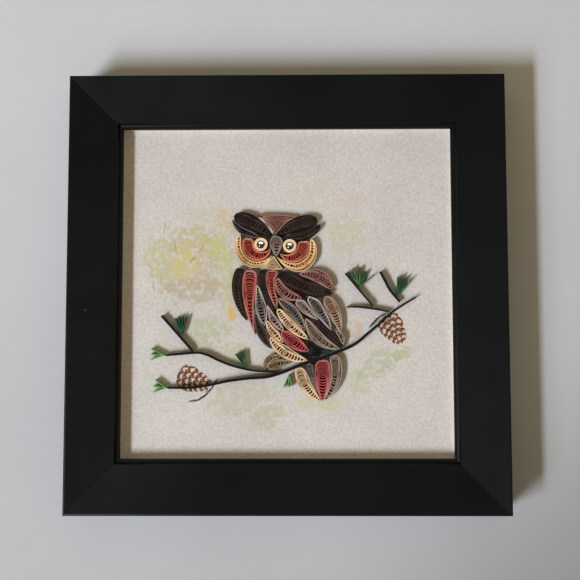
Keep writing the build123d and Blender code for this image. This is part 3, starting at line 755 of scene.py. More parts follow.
def new_group(name, inputs, outputs):
    """An empty node group with its named sockets: a number's default makes a value, a colour's a
    colour and none a vector. Returns the tree, its inputs' values and its output's sockets."""
    tree = bpy.data.node_groups.new(name, "ShaderNodeTree")
    for label, default in inputs.items():
        socket = tree.interface.new_socket(label, in_out="INPUT", socket_type=SOCKET_KINDS[type(default)])
        if default is not None:
            socket.default_value = default
    for label in outputs:
        kind = SOCKET_KINDS[tuple if label == "Color" else float]
        tree.interface.new_socket(label, in_out="OUTPUT", socket_type=kind)
    entry = tree.nodes.new("NodeGroupInput").outputs
    given = {label: Value(entry[label]) for label in inputs}
    return tree, given, tree.nodes.new("NodeGroupOutput").inputs


def strip_paper_group():
    """Quilling paper: the rim's colour turns into the inner one with depth, the upper edge is paler,
    partly as a pale cut edge and partly as a painted highlight, fibres and small folds vary both,
    and the walls carry painted shade, darker towards the foot of the strip."""
    name = "Strip Paper"
    if name in bpy.data.node_groups:
        return bpy.data.node_groups[name]
    inputs = {
        "Rim Colour": WHITE, "Turn Colour": WHITE, "Edge Lift": 0.1, "Rim Share": 0.16, "Wall Shade": 0.5,
    }
    tree, given, result = new_group(name, inputs, ("Color", "Roughness", "Height"))
    place = own_place(tree)
    depth = add(tree, "Attribute", {}, "Fac", attribute_name="depth")
    top = add(tree, "Attribute", {}, "Fac", attribute_name="top")
    broad = noise(place, 260.0, 3.0)
    fibre = noise(place, 2600.0, 4.0)
    past_rim = (depth + (broad - 0.5) * 0.3) / given["Rim Share"]
    colour = mixed(ramped(past_rim, 0.5, 1.5), given["Rim Colour"], given["Turn Colour"])
    edge = ramped(top, 0.93, 0.99)
    # The upper edge is mixed towards a pale colour: partly the paler cut edge, partly a painted highlight
    pale = mixed(edge * given["Edge Lift"], colour, (1.0, 0.97, 0.93, 1.0))
    tinted = scaled(pale, varied(broad, 0.86, 1.08) * varied(fibre, 0.92, 1.06))
    # Painted shade on the walls, scaled by Wall Shade and darker towards the foot; the upper edge is
    # brightened as a painted highlight
    painted_wall_shade = ramped(top, 0.0, 0.97, 0.6, 1.2) * given["Wall Shade"]
    shaded = scaled(tinted, painted_wall_shade * (1.0 - edge) + edge * 1.15)
    feed(result, {"Color": shaded, "Roughness": ramped(fibre, *NOISE, 0.74, 0.92), "Height": fibre})
    return tree


def surface(name, specular=0.5, **more):
    """A material whose plain values are set on its shader's own sockets."""
    material = bpy.data.materials.new(name)
    material.use_nodes = True
    shader = material.node_tree.nodes["Principled BSDF"]
    feed(shader.inputs, {"Specular IOR Level": specular, **more})
    return material


def finish(material, colour, roughness, height=None, strength=0.0, millimetres=0.0):
    """Give a material its colour, its roughness and, by a Bump node, its relief."""
    values = {"Base Color": colour, "Roughness": roughness}
    if height is not None:
        relief = {"Height": height, "Strength": strength, "Distance": millimetres * MM}
        values["Normal"] = add(height.tree, "Bump", relief)
    feed(material.node_tree.nodes["Principled BSDF"].inputs, values)
    return material


def strip_material(rim, turn, edge_lift=0.012, wall_shade=0.14):
    """Paper of two colours for one kind of coil, strip or needle, made once and shared."""
    name = f"{rim}_and_{turn}_paper"
    if name in bpy.data.materials:
        return bpy.data.materials[name]
    colours = bpy.context.scene.paper_colours
    material = surface(name, specular=0.12)
    # Wall Shade darkens the walls as painted shade; Edge Lift makes the upper edge paler, partly as a
    # painted highlight
    values = {
        "Rim Colour": (*getattr(colours, rim), 1), "Turn Colour": (*getattr(colours, turn), 1),
        "Edge Lift": edge_lift, "Wall Shade": wall_shade,
    }
    paper = add(
        material.node_tree, "Group", values, "Color", "Roughness", "Height", node_tree=strip_paper_group(),
    )
    return finish(material, *paper, 0.3, 0.02)


def paint_material(paint):
    """Satin black lacquer on wood: pores and brushed grain show faintly in gloss and in relief,
    with a few pale specks of dust."""
    material = surface("satin_black_paint", specular=0.16)
    place = own_place(material.node_tree)
    cloud = noise(place, 22.0, 4.0)
    pores = noise(place, 900.0, 5.0)
    flecks = noise(place, 1500.0, 2.0)
    spots = {"Vector": place, "Scale": 110.0}
    chance, distance = add(place.tree, "TexVoronoi", spots, "Color", "Distance", feature="F1")
    few = ramped(add(place.tree, "SeparateColor", {0: chance}), 0.80, 0.82)
    dust = few * ramped(distance, 0.030, 0.012)
    base = scaled(tuple(paint), varied(cloud, 0.85, 1.2) * varied(flecks, 0.7, 1.35))
    dusty = mixed(dust * 0.55, base, (0.5, 0.48, 0.46, 1.0))
    gloss = ramped(cloud, *NOISE, 0.32, 0.44) + dust * 0.4
    return finish(material, dusty, gloss, pores, 0.18, 0.03)


PRINT_INPUTS = {"Vector": None, "Location": None, "Rotation": None, "Size": None, "Under": WHITE}


def print_space(given):
    """Places on the card in a print's own turned and stretched space."""
    tree = given["Vector"].tree
    inputs = {"Scale": given["Size"], **{key: given[key] for key in ("Vector", "Location", "Rotation")}}
    local = add(tree, "Mapping", inputs, vector_type="TEXTURE")
    return add(tree, "VectorMath", {0: local, 1: (1.0, 1.0, 0.0)}, operation="MULTIPLY")


def blot_group():
    """A soft-edged blot of colour: one minus the distance from the blot's centre, in the blot's own
    turned and stretched space, wavering with noise, then grained as wash is on rough paper. It lays
    the washes, and also the card's painted shade and painted light."""
    name = "Wash Blot"
    if name in bpy.data.node_groups:
        return bpy.data.node_groups[name]
    inputs = {"Waver": 0.8, "Softness": 0.8, "Bare": 0.2, "Strength": 1.0, "Colour": WHITE}
    tree, given, result = new_group(name, {**PRINT_INPUTS, **inputs}, ("Color",))
    place = given["Vector"]
    far = add(tree, "VectorMath", {0: print_space(given)}, "Value", operation="LENGTH")
    reach = far + (noise(place, 0.2, 7.0, Roughness=0.62) - 0.5) * given["Waver"]
    fade = ramped(reach, 1.0 - given["Softness"], 1.0, 1.0, 0.0)
    grain = ramped(noise(place, 1.1, 3.0), 0.25, 0.7, 0.7, 1.12)
    holes = ramped(noise(place, 0.5, 7.0), 0.43, 0.47, 1.0, 0.0) * given["Bare"]
    mask = (fade * grain * (1.0 - holes)).maths("MULTIPLY", given["Strength"], clamp=True)
    feed(result, {"Color": mixed(mask, given["Under"], given["Colour"])})
    return tree


# Pale washes on the card: centre, half length and half width, turn in degrees, strength, softness
# and the colour as a display shows it
WASHES = (
    (-45 + 15j, 22.0, 19.0, 20, 0.83, 0.3, (200, 187, 158)),
    (-60 + 16j, 7.0, 13.0, 8, 0.69, 0.3, (202, 198, 156)),
    (-44 + 22j, 13.0, 9.0, 30, 0.75, 0.3, (204, 190, 144)),
    (-48 + 13j, 7.0, 10.0, 0, 0.78, 0.35, (210, 201, 134)),
    (-33.5 + 22j, 6.0, 7.0, 0, 0.83, 0.3, (200, 200, 134)),
    (-27.5 + 9j, 5.5, 10.0, 5, 0.78, 0.3, (202, 200, 138)),
    (-28 + 33j, 7.0, 8.0, 20, 0.75, 0.3, (212, 194, 146)),
    (-43 + 1j, 15.0, 7.0, 4, 0.83, 0.3, (194, 178, 156)),
    (-26.5 - 3j, 6.0, 11.0, 8, 0.75, 0.35, (206, 196, 150)),
    (-25.4 - 10j, 2.5, 4.5, 10, 0.95, 0.5, (222, 188, 110)),
    (-37 - 19j, 12.0, 9.0, 10, 0.75, 0.35, (190, 192, 156)),
    (-24 - 27j, 8.0, 6.0, -10, 0.62, 0.35, (196, 194, 160)),
    (-22 - 48j, 17.0, 9.0, 18, 0.58, 0.3, (196, 190, 164)),
    (-9 - 57j, 9.0, 6.0, 30, 0.58, 0.3, (190, 188, 152)),
    (-38 + 36j, 9.0, 7.0, 10, 0.50, 0.4, (208, 202, 168)),
    (43 - 33j, 12.0, 7.0, 35, 0.62, 0.35, (184, 188, 154)),
    (52.8 - 28j, 6.0, 4.0, 10, 0.75, 0.4, (184, 192, 148)),
    (33 - 42j, 8.0, 6.0, -20, 0.58, 0.35, (194, 196, 160)),
    (31 + 43j, 9.0, 6.0, 20, 0.43, 0.5, (218, 192, 182)),
    (31 - 17.5j, 6.0, 5.0, 0, 0.69, 0.35, (210, 184, 164)),
    (15 - 50j, 12.0, 6.0, 0, 0.55, 0.4, (212, 204, 152)),
    (27 + 27j, 10.0, 11.0, 30, 0.53, 0.35, (202, 196, 162)),
    (12 + 47j, 12.0, 5.0, 10, 0.38, 0.4, (206, 202, 176)),
)
# Dry brush strokes, given in the same way
STROKES = (
    (-57.4 + 30.5j, 4.8, 0.55, 80, 0.55, 0.8, (150, 142, 136)),
    (-52.2 + 21.5j, 6.0, 0.45, -82, 0.55, 0.8, (158, 146, 124)),
    (-35.5 + 25.7j, 4.4, 0.5, 39, 0.6, 0.8, (158, 148, 128)),
    (-40.0 + 20.6j, 3.8, 0.5, 62, 0.6, 0.8, (158, 146, 124)),
    (-44.2 + 15.3j, 4.2, 0.8, 47, 0.6, 0.8, (150, 138, 118)),
    (-62.3 + 3.5j, 6.2, 0.6, -80, 0.6, 0.8, (150, 140, 136)),
    (-58.8 + 6.0j, 8.0, 0.45, 86, 0.5, 0.8, (164, 152, 134)),
    (-30.6 - 2.0j, 5.0, 0.5, 60, 0.4, 0.8, (170, 164, 130)),
    (-22.0 - 56j, 7.0, 0.5, 20, 0.4, 0.8, (170, 166, 150)),
    (46.0 - 34j, 6.0, 0.5, -35, 0.4, 0.8, (168, 172, 146)),
)
# Painted shade: a dark ground under the owl, darkening the card in the gaps between its coils; then the
# printed twigs, given in the same way
SHADE_GROUND_AND_TWIG_PRINTS = (
    (-5 + 21j, 15.0, 10.5, 0, 0.85, 0.15, (74, 56, 46)),
    (1.6 - 9.2j, 20.5, 14.8, -63, 0.85, 0.15, (74, 56, 46)),
    (12 - 29.6j, 5.0, 1.5, 22, 0.85, 0.15, (74, 56, 46)),
    (14.5 - 38j, 9.0, 5.0, 90, 0.85, 0.15, (74, 56, 46)),
    (-3 - 33j, 4.5, 1.6, 8, 0.85, 0.15, (74, 56, 46)),
    # The printed twigs
    (-42.8 - 50.0j, 3.4, 0.55, 8, 1.0, 0.35, (74, 60, 54)),
    (-39.2 - 48.5j, 3.6, 0.6, 32, 1.0, 0.35, (66, 50, 46)),
    (-36.0 - 45.6j, 3.4, 0.6, 47, 1.0, 0.35, (66, 50, 46)),
    (-33.4 - 42.0j, 3.4, 0.55, 58, 1.0, 0.35, (66, 50, 46)),
    (-36.9 - 44.4j, 1.9, 0.45, 80, 1.0, 0.35, (74, 56, 50)),
    (-35.4 - 41.4j, 1.6, 0.45, 100, 1.0, 0.35, (74, 56, 50)),
)
# Painted light: green laid on the card under the tufts, standing in for the green-tinted shade and the light
# bounced between the needles, given in the same way
PAINTED_GREEN_BOUNCE = (
    (35.0 + 7.4j, 4.2, 3.4, 80, 0.6, 0.5, (96, 150, 120)),
    (53.9 + 3.4j, 4.8, 2.6, 65, 0.6, 0.5, (96, 150, 120)),
    (-49.0 - 14.8j, 4.2, 2.4, 95, 0.6, 0.5, (96, 150, 120)),
    (-21.0 - 30.6j, 3.8, 1.8, 112, 0.6, 0.5, (96, 150, 120)),
    (-60.6 - 28.7j, 3.0, 2.0, 0, 0.6, 0.5, (120, 190, 120)),
    (-59.4 - 43.5j, 3.0, 2.0, 0, 0.6, 0.5, (120, 190, 120)),
    (0.5 - 41.6j, 2.8, 1.8, 90, 0.6, 0.5, (120, 190, 120)),
)
# Printed pine cones: centre, half length, half width and turn
CONES = (
    (-43.2 - 40.6j, 8.2, 6.4, -18),
    (49.4 - 17.4j, 7.8, 6.2, -57),
)
CONE_FILL = (255, 212, 178)
CONE_SHADE = (150, 82, 50)
CONE_SCALE = (40, 20, 14)
CONE_ROW = 0.33
CONE_COLUMN = 0.46


def cone_print_group():
    """A pine cone in print: an egg-shaped field filled with rows of scales. Its length is cut into
    bent rows and each row into columns, every other row moved by half a column, and a dark arch,
    a parabola across the column, stands in each cell."""
    name = "Cone Print"
    if name in bpy.data.node_groups:
        return bpy.data.node_groups[name]
    inputs = {"Fill": WHITE, "Shade": WHITE, "Line": (0.0, 0.0, 0.0, 1.0)}
    tree, given, result = new_group(name, {**PRINT_INPUTS, **inputs}, ("Color",))
    flat = print_space(given)
    x, y = add(tree, "SeparateXYZ", {0: flat}, 0, 1)
    rough = (noise(flat, 3.4, 4.0) - 0.5) * 0.35
    wide = y * (x * 0.38 + 1.12)
    square = wide * wide
    far = (x.maths("ABSOLUTE").maths("POWER", 2.6) + square).maths("SQRT")
    field = ramped(far + rough, 0.92, 1.0, 1.0, 0.0)
    along = x / CONE_ROW + square * -0.9 + rough * 3.0
    in_row = along.maths("FRACT")
    odd = (along.maths("FLOOR") + 20.0).maths("MODULO", 2.0)
    off_middle = (wide / CONE_COLUMN + odd * 0.5).maths("FRACT") - 0.5
    arch = off_middle * off_middle * 2.6
    line = (in_row - 0.2 - arch).maths("ABSOLUTE")
    inside = mixed(ramped(in_row, 0.3, 1.0, 1.0, 0.0), given["Fill"], given["Shade"])
    lined = mixed(ramped(line, 0.17, 0.32, 1.0, 0.0), inside, given["Line"])
    feed(result, {"Color": mixed(field * 0.9, given["Under"], lined)})
    return tree


def printed(group, place, under, shape, values):
    """The colour under a print, or under a patch of painted shade or light, with that laid over it."""
    centre, length, width, turn = shape
    inputs = {
        "Vector": place, "Under": under, "Location": (centre.real, centre.imag, 0),
        "Rotation": (0, 0, math.radians(turn)), "Size": (length, width, 1), **values,
    }
    return add(place.tree, "Group", inputs, "Color", node_tree=group)


def card_material(card):
    """Rough watercolour paper with pale washes, dry strokes and two printed pine cones, and with
    painted shade under the owl and painted green light under the tufts.
    """
    material = surface("washed_card", specular=0.2)
    place = scaled(own_place(material.node_tree), 1 / (MM * FIT))
    tooth = noise(place, 0.95, 4.0)
    fine = noise(place, 3.4, 3.0)
    drift = noise(place, 0.03, 2.0)
    colour = scaled(tuple(card), varied(tooth, 0.86, 1.10) * ramped(drift, *NOISE, 0.95, 1.03))
    # Washes and strokes are print; the dark ground under the owl is painted shade and the green under the
    # tufts painted light
    for blots, waver, bare in (
        (WASHES, 2.2, 0.85), (STROKES, 0.7, 0.4), (SHADE_GROUND_AND_TWIG_PRINTS, 0.1, 0.0), (PAINTED_GREEN_BOUNCE, 0.5, 0.2),
    ):
        for *shape, strength, softness, shown in blots:
            colour = printed(blot_group(), place, colour, shape, {
                "Waver": waver, "Bare": bare, "Softness": softness, "Strength": strength,
                "Colour": (*linear(*shown), 1),
            })
    inks = {"Fill": CONE_FILL, "Shade": CONE_SHADE, "Line": CONE_SCALE}
    inks = {key: (*linear(*shown), 1) for key, shown in inks.items()}
    for shape in CONES:
        colour = printed(cone_print_group(), place, colour, shape, inks)
    return finish(material, colour, ramped(fine, *NOISE, 0.82, 0.95), tooth + fine * 0.35, 0.5, 0.10)


def board_material(name, colour, grain_scale, roughness, depth):
    """Pressed board: short fibres as noise in colour and in relief."""
    material = surface(name, specular=0.2)
    place = own_place(material.node_tree)
    fibres = noise(place, grain_scale, 6.0)
    shade = varied(noise(place, 40.0, 4.0), 0.93, 1.06) * varied(fibres, 1 - depth, 1 + depth)
    rough = ramped(fibres, *NOISE, roughness - 0.08, roughness + 0.08)
    return finish(material, scaled(tuple(colour), shade), rough, fibres, 0.4, 0.06)


def steel_material():
    """Zinc-plated steel: grain in fine streaks along X, with cloudy patches in its gloss."""
    material = surface("zinc_plated_steel", Metallic=1.0)
    place = own_place(material.node_tree)
    drawn = add(place.tree, "Mapping", {"Vector": place, "Scale": (0.08, 1.0, 1.0)})
    streaks = noise(drawn, 4200.0, 4.0)
    cloud = ramped(noise(place, 240.0, 3.0), *NOISE)
    zinc = mixed(cloud, (0.50, 0.51, 0.53, 1.0), (0.66, 0.66, 0.66, 1.0))
    return finish(material, zinc, ramped(streaks, *NOISE, 0.24, 0.42), streaks, 0.25, 0.01)


def bead_material():
    """Polished black: hardly any colour, faint fingermarks in its gloss."""
    coat = {"Coat Weight": 1.0, "Coat Roughness": 0.03}
    material = surface("polished_black", specular=0.6, **coat)
    marks = noise(own_place(material.node_tree), 900.0, 3.0)
    black = mixed(ramped(marks, *NOISE), (0.006, 0.006, 0.007, 1.0), (0.012, 0.011, 0.011, 1.0))
    return finish(material, black, ramped(marks, *NOISE, 0.05, 0.12))


def floor_material(floor):
    """A pale matt table with a slight unevenness in its tone, darker towards the near side and the near
    right corner as painted shade.
    """
    material = surface("pale_table", specular=0.2)
    place = own_place(material.node_tree)
    x, y = add(place.tree, "SeparateXYZ", {0: place}, 0, 1)
    cloud = ramped(noise(place, 9.0, 3.0), *NOISE, 0.97, 1.02)
    # Painted shade: the floor darkens towards the near side and the near right corner, where the light falls
    # off
    far = ramped(y, -0.16, 0.16, 0.85, 1.13, smooth=False)
    corner = ramped(x - y, 0.13, 0.29, 1.0, 0.64)
    return finish(material, scaled(tuple(floor), cloud * far * corner), 0.9)


def finish_node(name, material):
    """Give a CAD node that keeps its shape the material named."""
    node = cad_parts[name]
    if not node.material_slots:
        node.data.materials.append(material)
    for entry in node.material_slots:
        entry.material = material


# Operators


def moulding_section(bevel):
    """The rail's section as a closed line of (distance from the frame's middle, height), drawn
    from the outer foot round the face and the lip to the rabbet, with small rounded edges. Lines
    near the edges of the wide faces keep the shading of those faces flat."""
    outer = HALF_SIDE
    inner = HALF_OPENING
    step_foot = inner + STEP_LAND
    angles = np.linspace(0, math.pi / 2, 7)
    edge = OUTER_EDGE_RADIUS
    rounding = [
        (outer - edge + edge * math.cos(angle), FRAME_DEPTH - edge + edge * math.sin(angle))
        for angle in angles
    ]
    section = [(outer, 0.0), (outer, FRAME_DEPTH - edge - FLAT_MARGIN), *rounding]
    section += [
        (outer - edge - FLAT_MARGIN, FRAME_DEPTH),
        (step_foot + STEP_RUN + bevel + FLAT_MARGIN, FRAME_DEPTH),
        (step_foot + STEP_RUN + bevel, FRAME_DEPTH),
        (step_foot + STEP_RUN - bevel * 0.4, FRAME_DEPTH - bevel),
        (step_foot + bevel * 0.5, FRAME_DEPTH - STEP_DROP + bevel),
        (step_foot - bevel, FRAME_DEPTH - STEP_DROP),
        (inner + bevel, FRAME_DEPTH - STEP_DROP),
        (inner, FRAME_DEPTH - STEP_DROP - bevel),
        (inner, FRAME_DEPTH - LIP_THICKNESS),
        (inner + RABBET_WIDTH, FRAME_DEPTH - LIP_THICKNESS),
        (inner + RABBET_WIDTH, 0.0),
    ]
    return np.array(section)


def rail_surface(quarter, bevel):
    """One mitred rail: the section carried along the side, each of its points ending where its
    distance from the middle meets the mitre, and a smaller section closing each end so that
    the mitre shows as a fine groove. The whole is turned by quarters about the middle."""
    section = moulding_section(bevel)
    centre = section.mean(axis=0)
    away = section - centre
    small = centre + away * (1 - bevel / np.maximum(np.abs(away).max(axis=1, keepdims=True), bevel))
    rows = []
    for mark, line in ((-1, small), (-1, section), (1, section), (1, small)):
        inset = 0.0 if line is small else bevel
        x = mark * (line[:, 0] - inset)
        rows.append(np.stack([x, -line[:, 0], line[:, 1]], axis=1))
    corners = np.stack(rows)
    columns = len(section)
    faces = grid_faces(4, columns).tolist()
    faces.append(list(range(columns)))
    faces.append(list(range(4 * columns - 1, 3 * columns - 1, -1)))
    turn = np.exp(1j * math.pi / 2 * quarter)
    plane = (corners[..., 0] + 1j * corners[..., 1]) * turn
    corners = np.stack([plane.real, plane.imag, corners[..., 2]], axis=-1).reshape(-1, 3)
    return corners, faces


def turned_outward(piece):
    """Turn a closed piece's faces outwards."""
    mesh = bmesh.new()
    mesh.from_mesh(piece.data)
    bmesh.ops.recalc_face_normals(mesh, faces=mesh.faces[:])
    mesh.to_mesh(piece.data)
    mesh.free()


class PAPERART_OT_rails(bpy.types.Operator):
    """Build the four mitred rails and finish the spacer, the board and the steel"""

    bl_idname = "paperart.rails"
    bl_label = "Shadow Frame"

    def execute(self, context):
        settings = context.scene.paper_frame
        paint = paint_material(settings.paint)
        for quarter, name in enumerate(("rail_bottom", "rail_right", "rail_top", "rail_left")):
            rail = rail_surface(quarter, settings.mitre_bevel / MM)
            turned_outward(new_piece(name + "_moulding", rail, paint, name, smooth=35.0))
        cream = board_material("cream_mount_board", settings.spacer, 1500.0, 0.85, 0.03)
        finish_node("spacer_strips", cream)
        brown = board_material("brown_fibre_board", settings.board, 1300.0, 0.8, 0.22)
        finish_node("backing_board", brown)
        steel = steel_material()
        for name in ("hanger", "hanger_rivets", "board_points", "corner_nails"):
            finish_node(name, steel)
        return {"FINISHED"}


class PAPERART_OT_card(bpy.types.Operator):
    """Give the card its rough paper, its washes and its printed cones"""

    bl_idname = "paperart.card"
    bl_label = "Printed Card"

    def execute(self, context):
        finish_node("art_card", card_material(context.scene.paper_frame.card))
        return {"FINISHED"}


def branch_path(points, count):
    """A smooth line through the points: a cubic through each four of them in turn."""
    points = np.array(points) * FIT
    if len(points) == 2:
        share = np.linspace(0, 1, count)
        return points[0] + share * (points[1] - points[0])
    ends = np.concatenate([[2 * points[0] - points[1]], points, [2 * points[-1] - points[-2]]])
    at = np.linspace(0, len(points) - 1, count)
    below = np.minimum(at.astype(int), len(points) - 2)
    t = at - below
    a, b, c, d = ends[below], ends[below + 1], ends[below + 2], ends[below + 3]
    return 0.5 * (
        2 * b + (c - a) * t + (2 * a - 5 * b + 4 * c - d) * t ** 2 + (3 * b - a - 3 * c + d) * t ** 3
    )


def tapered(branch, count):
    """A branch's middle line, its unit vectors to the left and its thickness, which goes from the
    start's to the middle's to the end's as a parabola."""
    points, start, middle, end = branch
    path = branch_path(points, count)
    share = np.linspace(0, 1, count)
    ends = np.where(share < 0.5, start, end)
    return path, leftward(path), middle + (ends - middle) * np.abs(2 * share - 1) ** 2


def bundle(branch, count, strips, paper, rng):
    """Strips glued side by side along one line: each keeps its share of the bundle's thickness,
    and their upper edges differ a little in height."""
    path, left, thickness = tapered(branch, count)
    share = np.linspace(0, 1, count)
    parts = []
    for strip in range(strips):
        line = path + left * ((strip + 0.5) / strips - 0.5) * thickness
        dip = (0.5 + 0.5 * wander(rng, share * 9, 2.0)) * paper.unevenness / MM
        parts.append(ribbon(line, thickness / strips - STRIP_GAP, PAPER_TOP - dip))
    return parts


def needles(tufts, rng):
    """Each needle is one strip on edge, from its tuft's foot to its tip, bowed a little. Returns
    the strips and how sunlit each of their corners is."""
    parts = []
    sunlit = []
    share = np.linspace(0, 1, NEEDLE_POINTS)
    for foot, tips, bright in tufts:
        for tip in tips:
            reach = tip * FIT - foot * FIT
            bow = rng.uniform(-NEEDLE_BOW, NEEDLE_BOW)
            line = foot * FIT + share * reach + 1j * reach / abs(reach) * bow * 4 * share * (1 - share)
            parts.append(ribbon(line, NEEDLE_THICKNESS, PAPER_TOP - rng.uniform(0, NEEDLE_DROP)))
            sunlit.append(np.full(4 * NEEDLE_POINTS, bright))
    return joined(parts), np.concatenate(sunlit)


class PAPERART_OT_branches(bpy.types.Operator):
    """Glue the branch strips, the twigs and the pine needles"""

    bl_idname = "paperart.branches"
    bl_label = "Pine Branch"

    def execute(self, context):
        paper = context.scene.paper_strips
        rng = np.random.default_rng(paper.seed)
        # Painted shade on the bark's walls, darker towards the foot
        bark = strip_material("bark", "bark", 0.004, 0.5)
        for name, branch in BRANCHES.items():
            strips = joined(bundle(branch, BRANCH_POINTS, BRANCH_STRIPS, paper, rng))
            new_piece(name + "_strips", strips, bark, name, 0)
        twigs = [joined(bundle(twig, TWIG_POINTS, TWIG_STRIPS, paper, rng)) for twig in TWIGS]
        new_piece("twig_strips", joined(twigs), bark, "twigs", 0)
        # The needles' walls are brightened above their paper's colour near the top, painted light standing
        # in for the green light they pass and bounce, and darkened towards the foot as painted shade
        green = strip_material("dark_green", "green", 0.0, 1.1)
        for name, tufts in (("needles_left", TUFTS_LEFT), ("needles_right", TUFTS_RIGHT)):
            strips, sunlit = needles(tufts, rng)
            new_piece(name + "_strips", strips, green, name, sunlit)
        return {"FINISHED"}


class PAPERART_OT_coils(bpy.types.Operator):
    """Roll, pinch and press every coil of the owl in the order they are glued"""

    bl_idname = "paperart.coils"
    bl_label = "Owl Coils"

    def execute(self, context):
        paper = context.scene.paper_strips
        gap = paper.coil_gap / MM
        rng = np.random.default_rng(paper.seed + 1)
        circle = EYE_RADIUS * np.exp(2j * np.pi * np.arange(EYE_POINTS) / EYE_POINTS)
        glued = [centre * FIT + circle for centre in EYE_CENTRES]
        for branch in BRANCHES.values():
            path, left, thickness = tapered(branch, BRANCH_POINTS // 2)
            side = left * (thickness / 2)
            glued.append(np.concatenate([path + side, (path - side)[::-1]]))
        around = np.linspace(0, 1, 2 * HALF_TURN, endpoint=False)
        ones = np.ones_like(around)
        for name, shape in {**LEAVES, **TRIANGLES}.items():
            if name in TRIANGLES:
                coil = triangle_coil(shape, glued, gap)
            else:
                lean = LEANS.get(name, rng.uniform(-MOST_LEAN, MOST_LEAN))
                coil = leaf_coil(shape, glued, gap, paper.fullness, lean)
            coil_piece(name, coil, strip_material(*shape[-2:]), paper, rng)
            glued.append(coil[0](around, ones, ones))
        return {"FINISHED"}


class PAPERART_OT_eyes(bpy.types.Operator):
    """Roll the two tight eye rolls and set a polished half bead in each"""

    bl_idname = "paperart.eyes"
    bl_label = "Eyes"

    def execute(self, context):
        rng = np.random.default_rng(context.scene.paper_strips.seed + 2)
        turn = np.linspace(0, ROLL_TURNS, ROLL_TURNS * EYE_POINTS + 1)
        pitch = (EYE_RADIUS - EYE_HOLE_RADIUS) / (ROLL_TURNS + 1)
        wound = (EYE_RADIUS - pitch / 2 - pitch * turn) * np.exp(2j * np.pi * turn)
        rolls = []
        for centre in EYE_CENTRES:
            dip = (0.5 + 0.5 * wander(rng, turn, 2.5)) * ROLL_DIP
            rolls.append(ribbon(centre * FIT + wound, pitch - ROLL_GAP, PAPER_TOP - dip))
        # Painted shade on the rolls' walls and a paler upper edge, partly a painted highlight
        cream = strip_material("cream", "cream", 0.1, 0.6)
        new_piece("eye_roll_strips", joined(rolls), cream, "eye_rolls", 0)
        beads = joined([bead_surface(centre * FIT) for centre in EYE_CENTRES])
        new_piece("eye_half_beads", beads, bead_material(), "eye_beads", smooth=50.0)
        return {"FINISHED"}


def bead_surface(centre):
    """A half bead: circles of a cylinder's radius up its side, then of a ball's as it closes in,
    and one point at the top and one at the foot."""
    radius = EYE_HOLE_RADIUS - BEAD_CLEARANCE
    ball = (radius ** 2 + BEAD_DOME ** 2) / (2 * BEAD_DOME)
    angles = np.linspace(math.asin(radius / ball), 0, BEAD_RINGS)[:-1]
    rings = np.concatenate([[radius, radius], ball * np.sin(angles)])
    shoulder = CARD_TOP + BEAD_CYLINDER
    top = shoulder + BEAD_DOME
    heights = np.concatenate([[CARD_TOP, shoulder - 0.02], top - ball + ball * np.cos(angles)])
    around = np.exp(2j * np.pi * np.arange(EYE_POINTS) / EYE_POINTS)
    plane = centre + rings[:, None] * around[None, :]
    heights = np.broadcast_to(heights[:, None], plane.shape)
    corners = np.stack([plane.real, plane.imag, heights], -1).reshape(-1, 3)
    apex = len(corners)
    corners = np.vstack([corners, [centre.real, centre.imag, top], [centre.real, centre.imag, CARD_TOP]])
    step = np.arange(EYE_POINTS)
    ahead = (step + 1) % EYE_POINTS
    last = apex - EYE_POINTS
    faces = grid_faces(len(rings), EYE_POINTS).tolist()
    faces += np.stack([last + step, last + ahead, np.full(EYE_POINTS, apex)], -1).tolist()
    faces += np.stack([ahead, step, np.full(EYE_POINTS, apex + 1)], -1).tolist()
    return corners, faces


class PAPERART_OT_stage(bpy.types.Operator):
    """Lay the pale floor, hang the lights and set the camera"""

    bl_idname = "paperart.stage"
    bl_label = "Stage"

    def execute(self, context):
        settings = context.scene.paper_stage
        scene = context.scene
        mesh = bpy.data.meshes.new("floor")
        square = np.array([[-1, -1, 0], [1, -1, 0], [1, 1, 0], [-1, 1, 0]])
        corners = square * FLOOR_REACH + (0, 0, FLOOR_LEVEL)
        mesh.from_pydata(corners.tolist(), [], [(0, 1, 2, 3)])
        mesh.materials.append(floor_material(settings.floor))
        floor = placed("floor", mesh)
        area_light("key_light", (-0.86, -0.64, 1.0), 3.0, 0.24, 0.95, settings.key_power, DAYLIGHT)
        area_light("glow_light", (-0.97, -0.78, 1.0), 1.6, 0.39, 0.8, settings.glow_power, DAYLIGHT)
        window = area_light("window_light", (0.0, 0.90, 0.44), 1.0, 2.1, 1.7, WINDOW_POWER, WINDOW_COLOUR)
        lit = bpy.data.collections.new("lit_by_window")
        lit.objects.link(bpy.data.objects["eye_half_beads"])
        window.light_linking.receiver_collection = lit
        scene.world = bpy.data.worlds.new("warm_fill")
        scene.world.use_nodes = True
        background = scene.world.node_tree.nodes["Background"]
        background.inputs["Color"].default_value = FILL_COLOUR
        background.inputs["Strength"].default_value = settings.fill
        lens = bpy.data.cameras.new("camera")
        lens.lens = CAMERA_LENS
        lens.sensor_width = SENSOR_WIDTH
        lens.clip_start = 0.01
        camera = placed("camera", lens)
        camera.location = Vector(CAMERA_PLACE) * MM
        camera.rotation_euler = Euler(CAMERA_TURN)
        scene.camera = camera
        scene.view_settings.view_transform = "Standard"
        return {"FINISHED"}


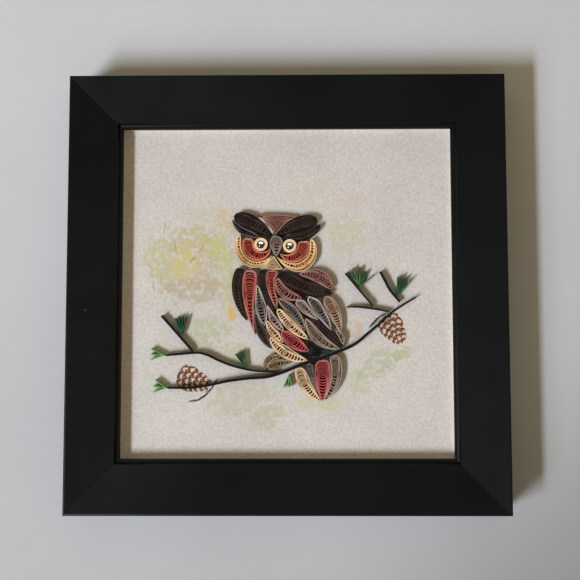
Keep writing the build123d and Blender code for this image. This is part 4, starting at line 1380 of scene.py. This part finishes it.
def area_light(name, direction, distance, width, height, power, colour):
    """A rectangular light at a distance from the picture, facing it, its height along the picture's
    Y as nearly as it can be."""
    light = bpy.data.lights.new(name, "AREA")
    light.shape = "RECTANGLE"
    light.size = width
    light.size_y = height
    light.energy = power
    light.color = colour
    lamp = placed(name, light)
    away = Vector(direction).normalized()
    across = Vector((0.0, 1.0, 0.0)).cross(away).normalized()
    lamp.location = away * distance
    lamp.rotation_euler = Matrix((across, away.cross(across), away)).transposed().to_euler()
    return lamp


class PAPERART_PT_panel(bpy.types.Panel):
    """The steps of the build, in order"""

    bl_label = "Quilled Owl"
    bl_idname = "PAPERART_PT_panel"
    bl_space_type = "VIEW_3D"
    bl_region_type = "UI"
    bl_category = "Paper Art"

    def draw(self, context):
        layout = self.layout
        for operator in OPERATORS:
            layout.operator(operator.bl_idname)
        for label, group in SETTINGS.items():
            box = layout.box()
            box.label(text=group.__doc__)
            owner = getattr(context.scene, label)
            for key in group.__annotations__:
                box.prop(owner, key)


OPERATORS = (
    PAPERART_OT_rails,
    PAPERART_OT_card,
    PAPERART_OT_branches,
    PAPERART_OT_eyes,
    PAPERART_OT_coils,
    PAPERART_OT_stage,
)
SETTINGS = {
    "paper_strips": PaperSettings,
    "paper_colours": PaperColours,
    "paper_frame": FrameSettings,
    "paper_stage": StageSettings,
}


def register():
    """Add the settings, the operators and the panel to Blender."""
    for group in SETTINGS.values():
        bpy.utils.register_class(group)
    for label, group in SETTINGS.items():
        setattr(bpy.types.Scene, label, bpy.props.PointerProperty(type=group))
    for operator in OPERATORS:
        bpy.utils.register_class(operator)
    bpy.utils.register_class(PAPERART_PT_panel)


def unregister():
    """Take the panel, the operators and the settings away again."""
    bpy.utils.unregister_class(PAPERART_PT_panel)
    for operator in reversed(OPERATORS):
        bpy.utils.unregister_class(operator)
    for label in SETTINGS:
        delattr(bpy.types.Scene, label)
    for group in reversed(SETTINGS.values()):
        bpy.utils.unregister_class(group)


def main():
    """Build the whole picture."""
    register()
    bpy.ops.paperart.rails()
    bpy.ops.paperart.card()
    bpy.ops.paperart.branches()
    bpy.ops.paperart.eyes()
    bpy.ops.paperart.coils()
    bpy.ops.paperart.stage()


if __name__ == "__main__":
    main()
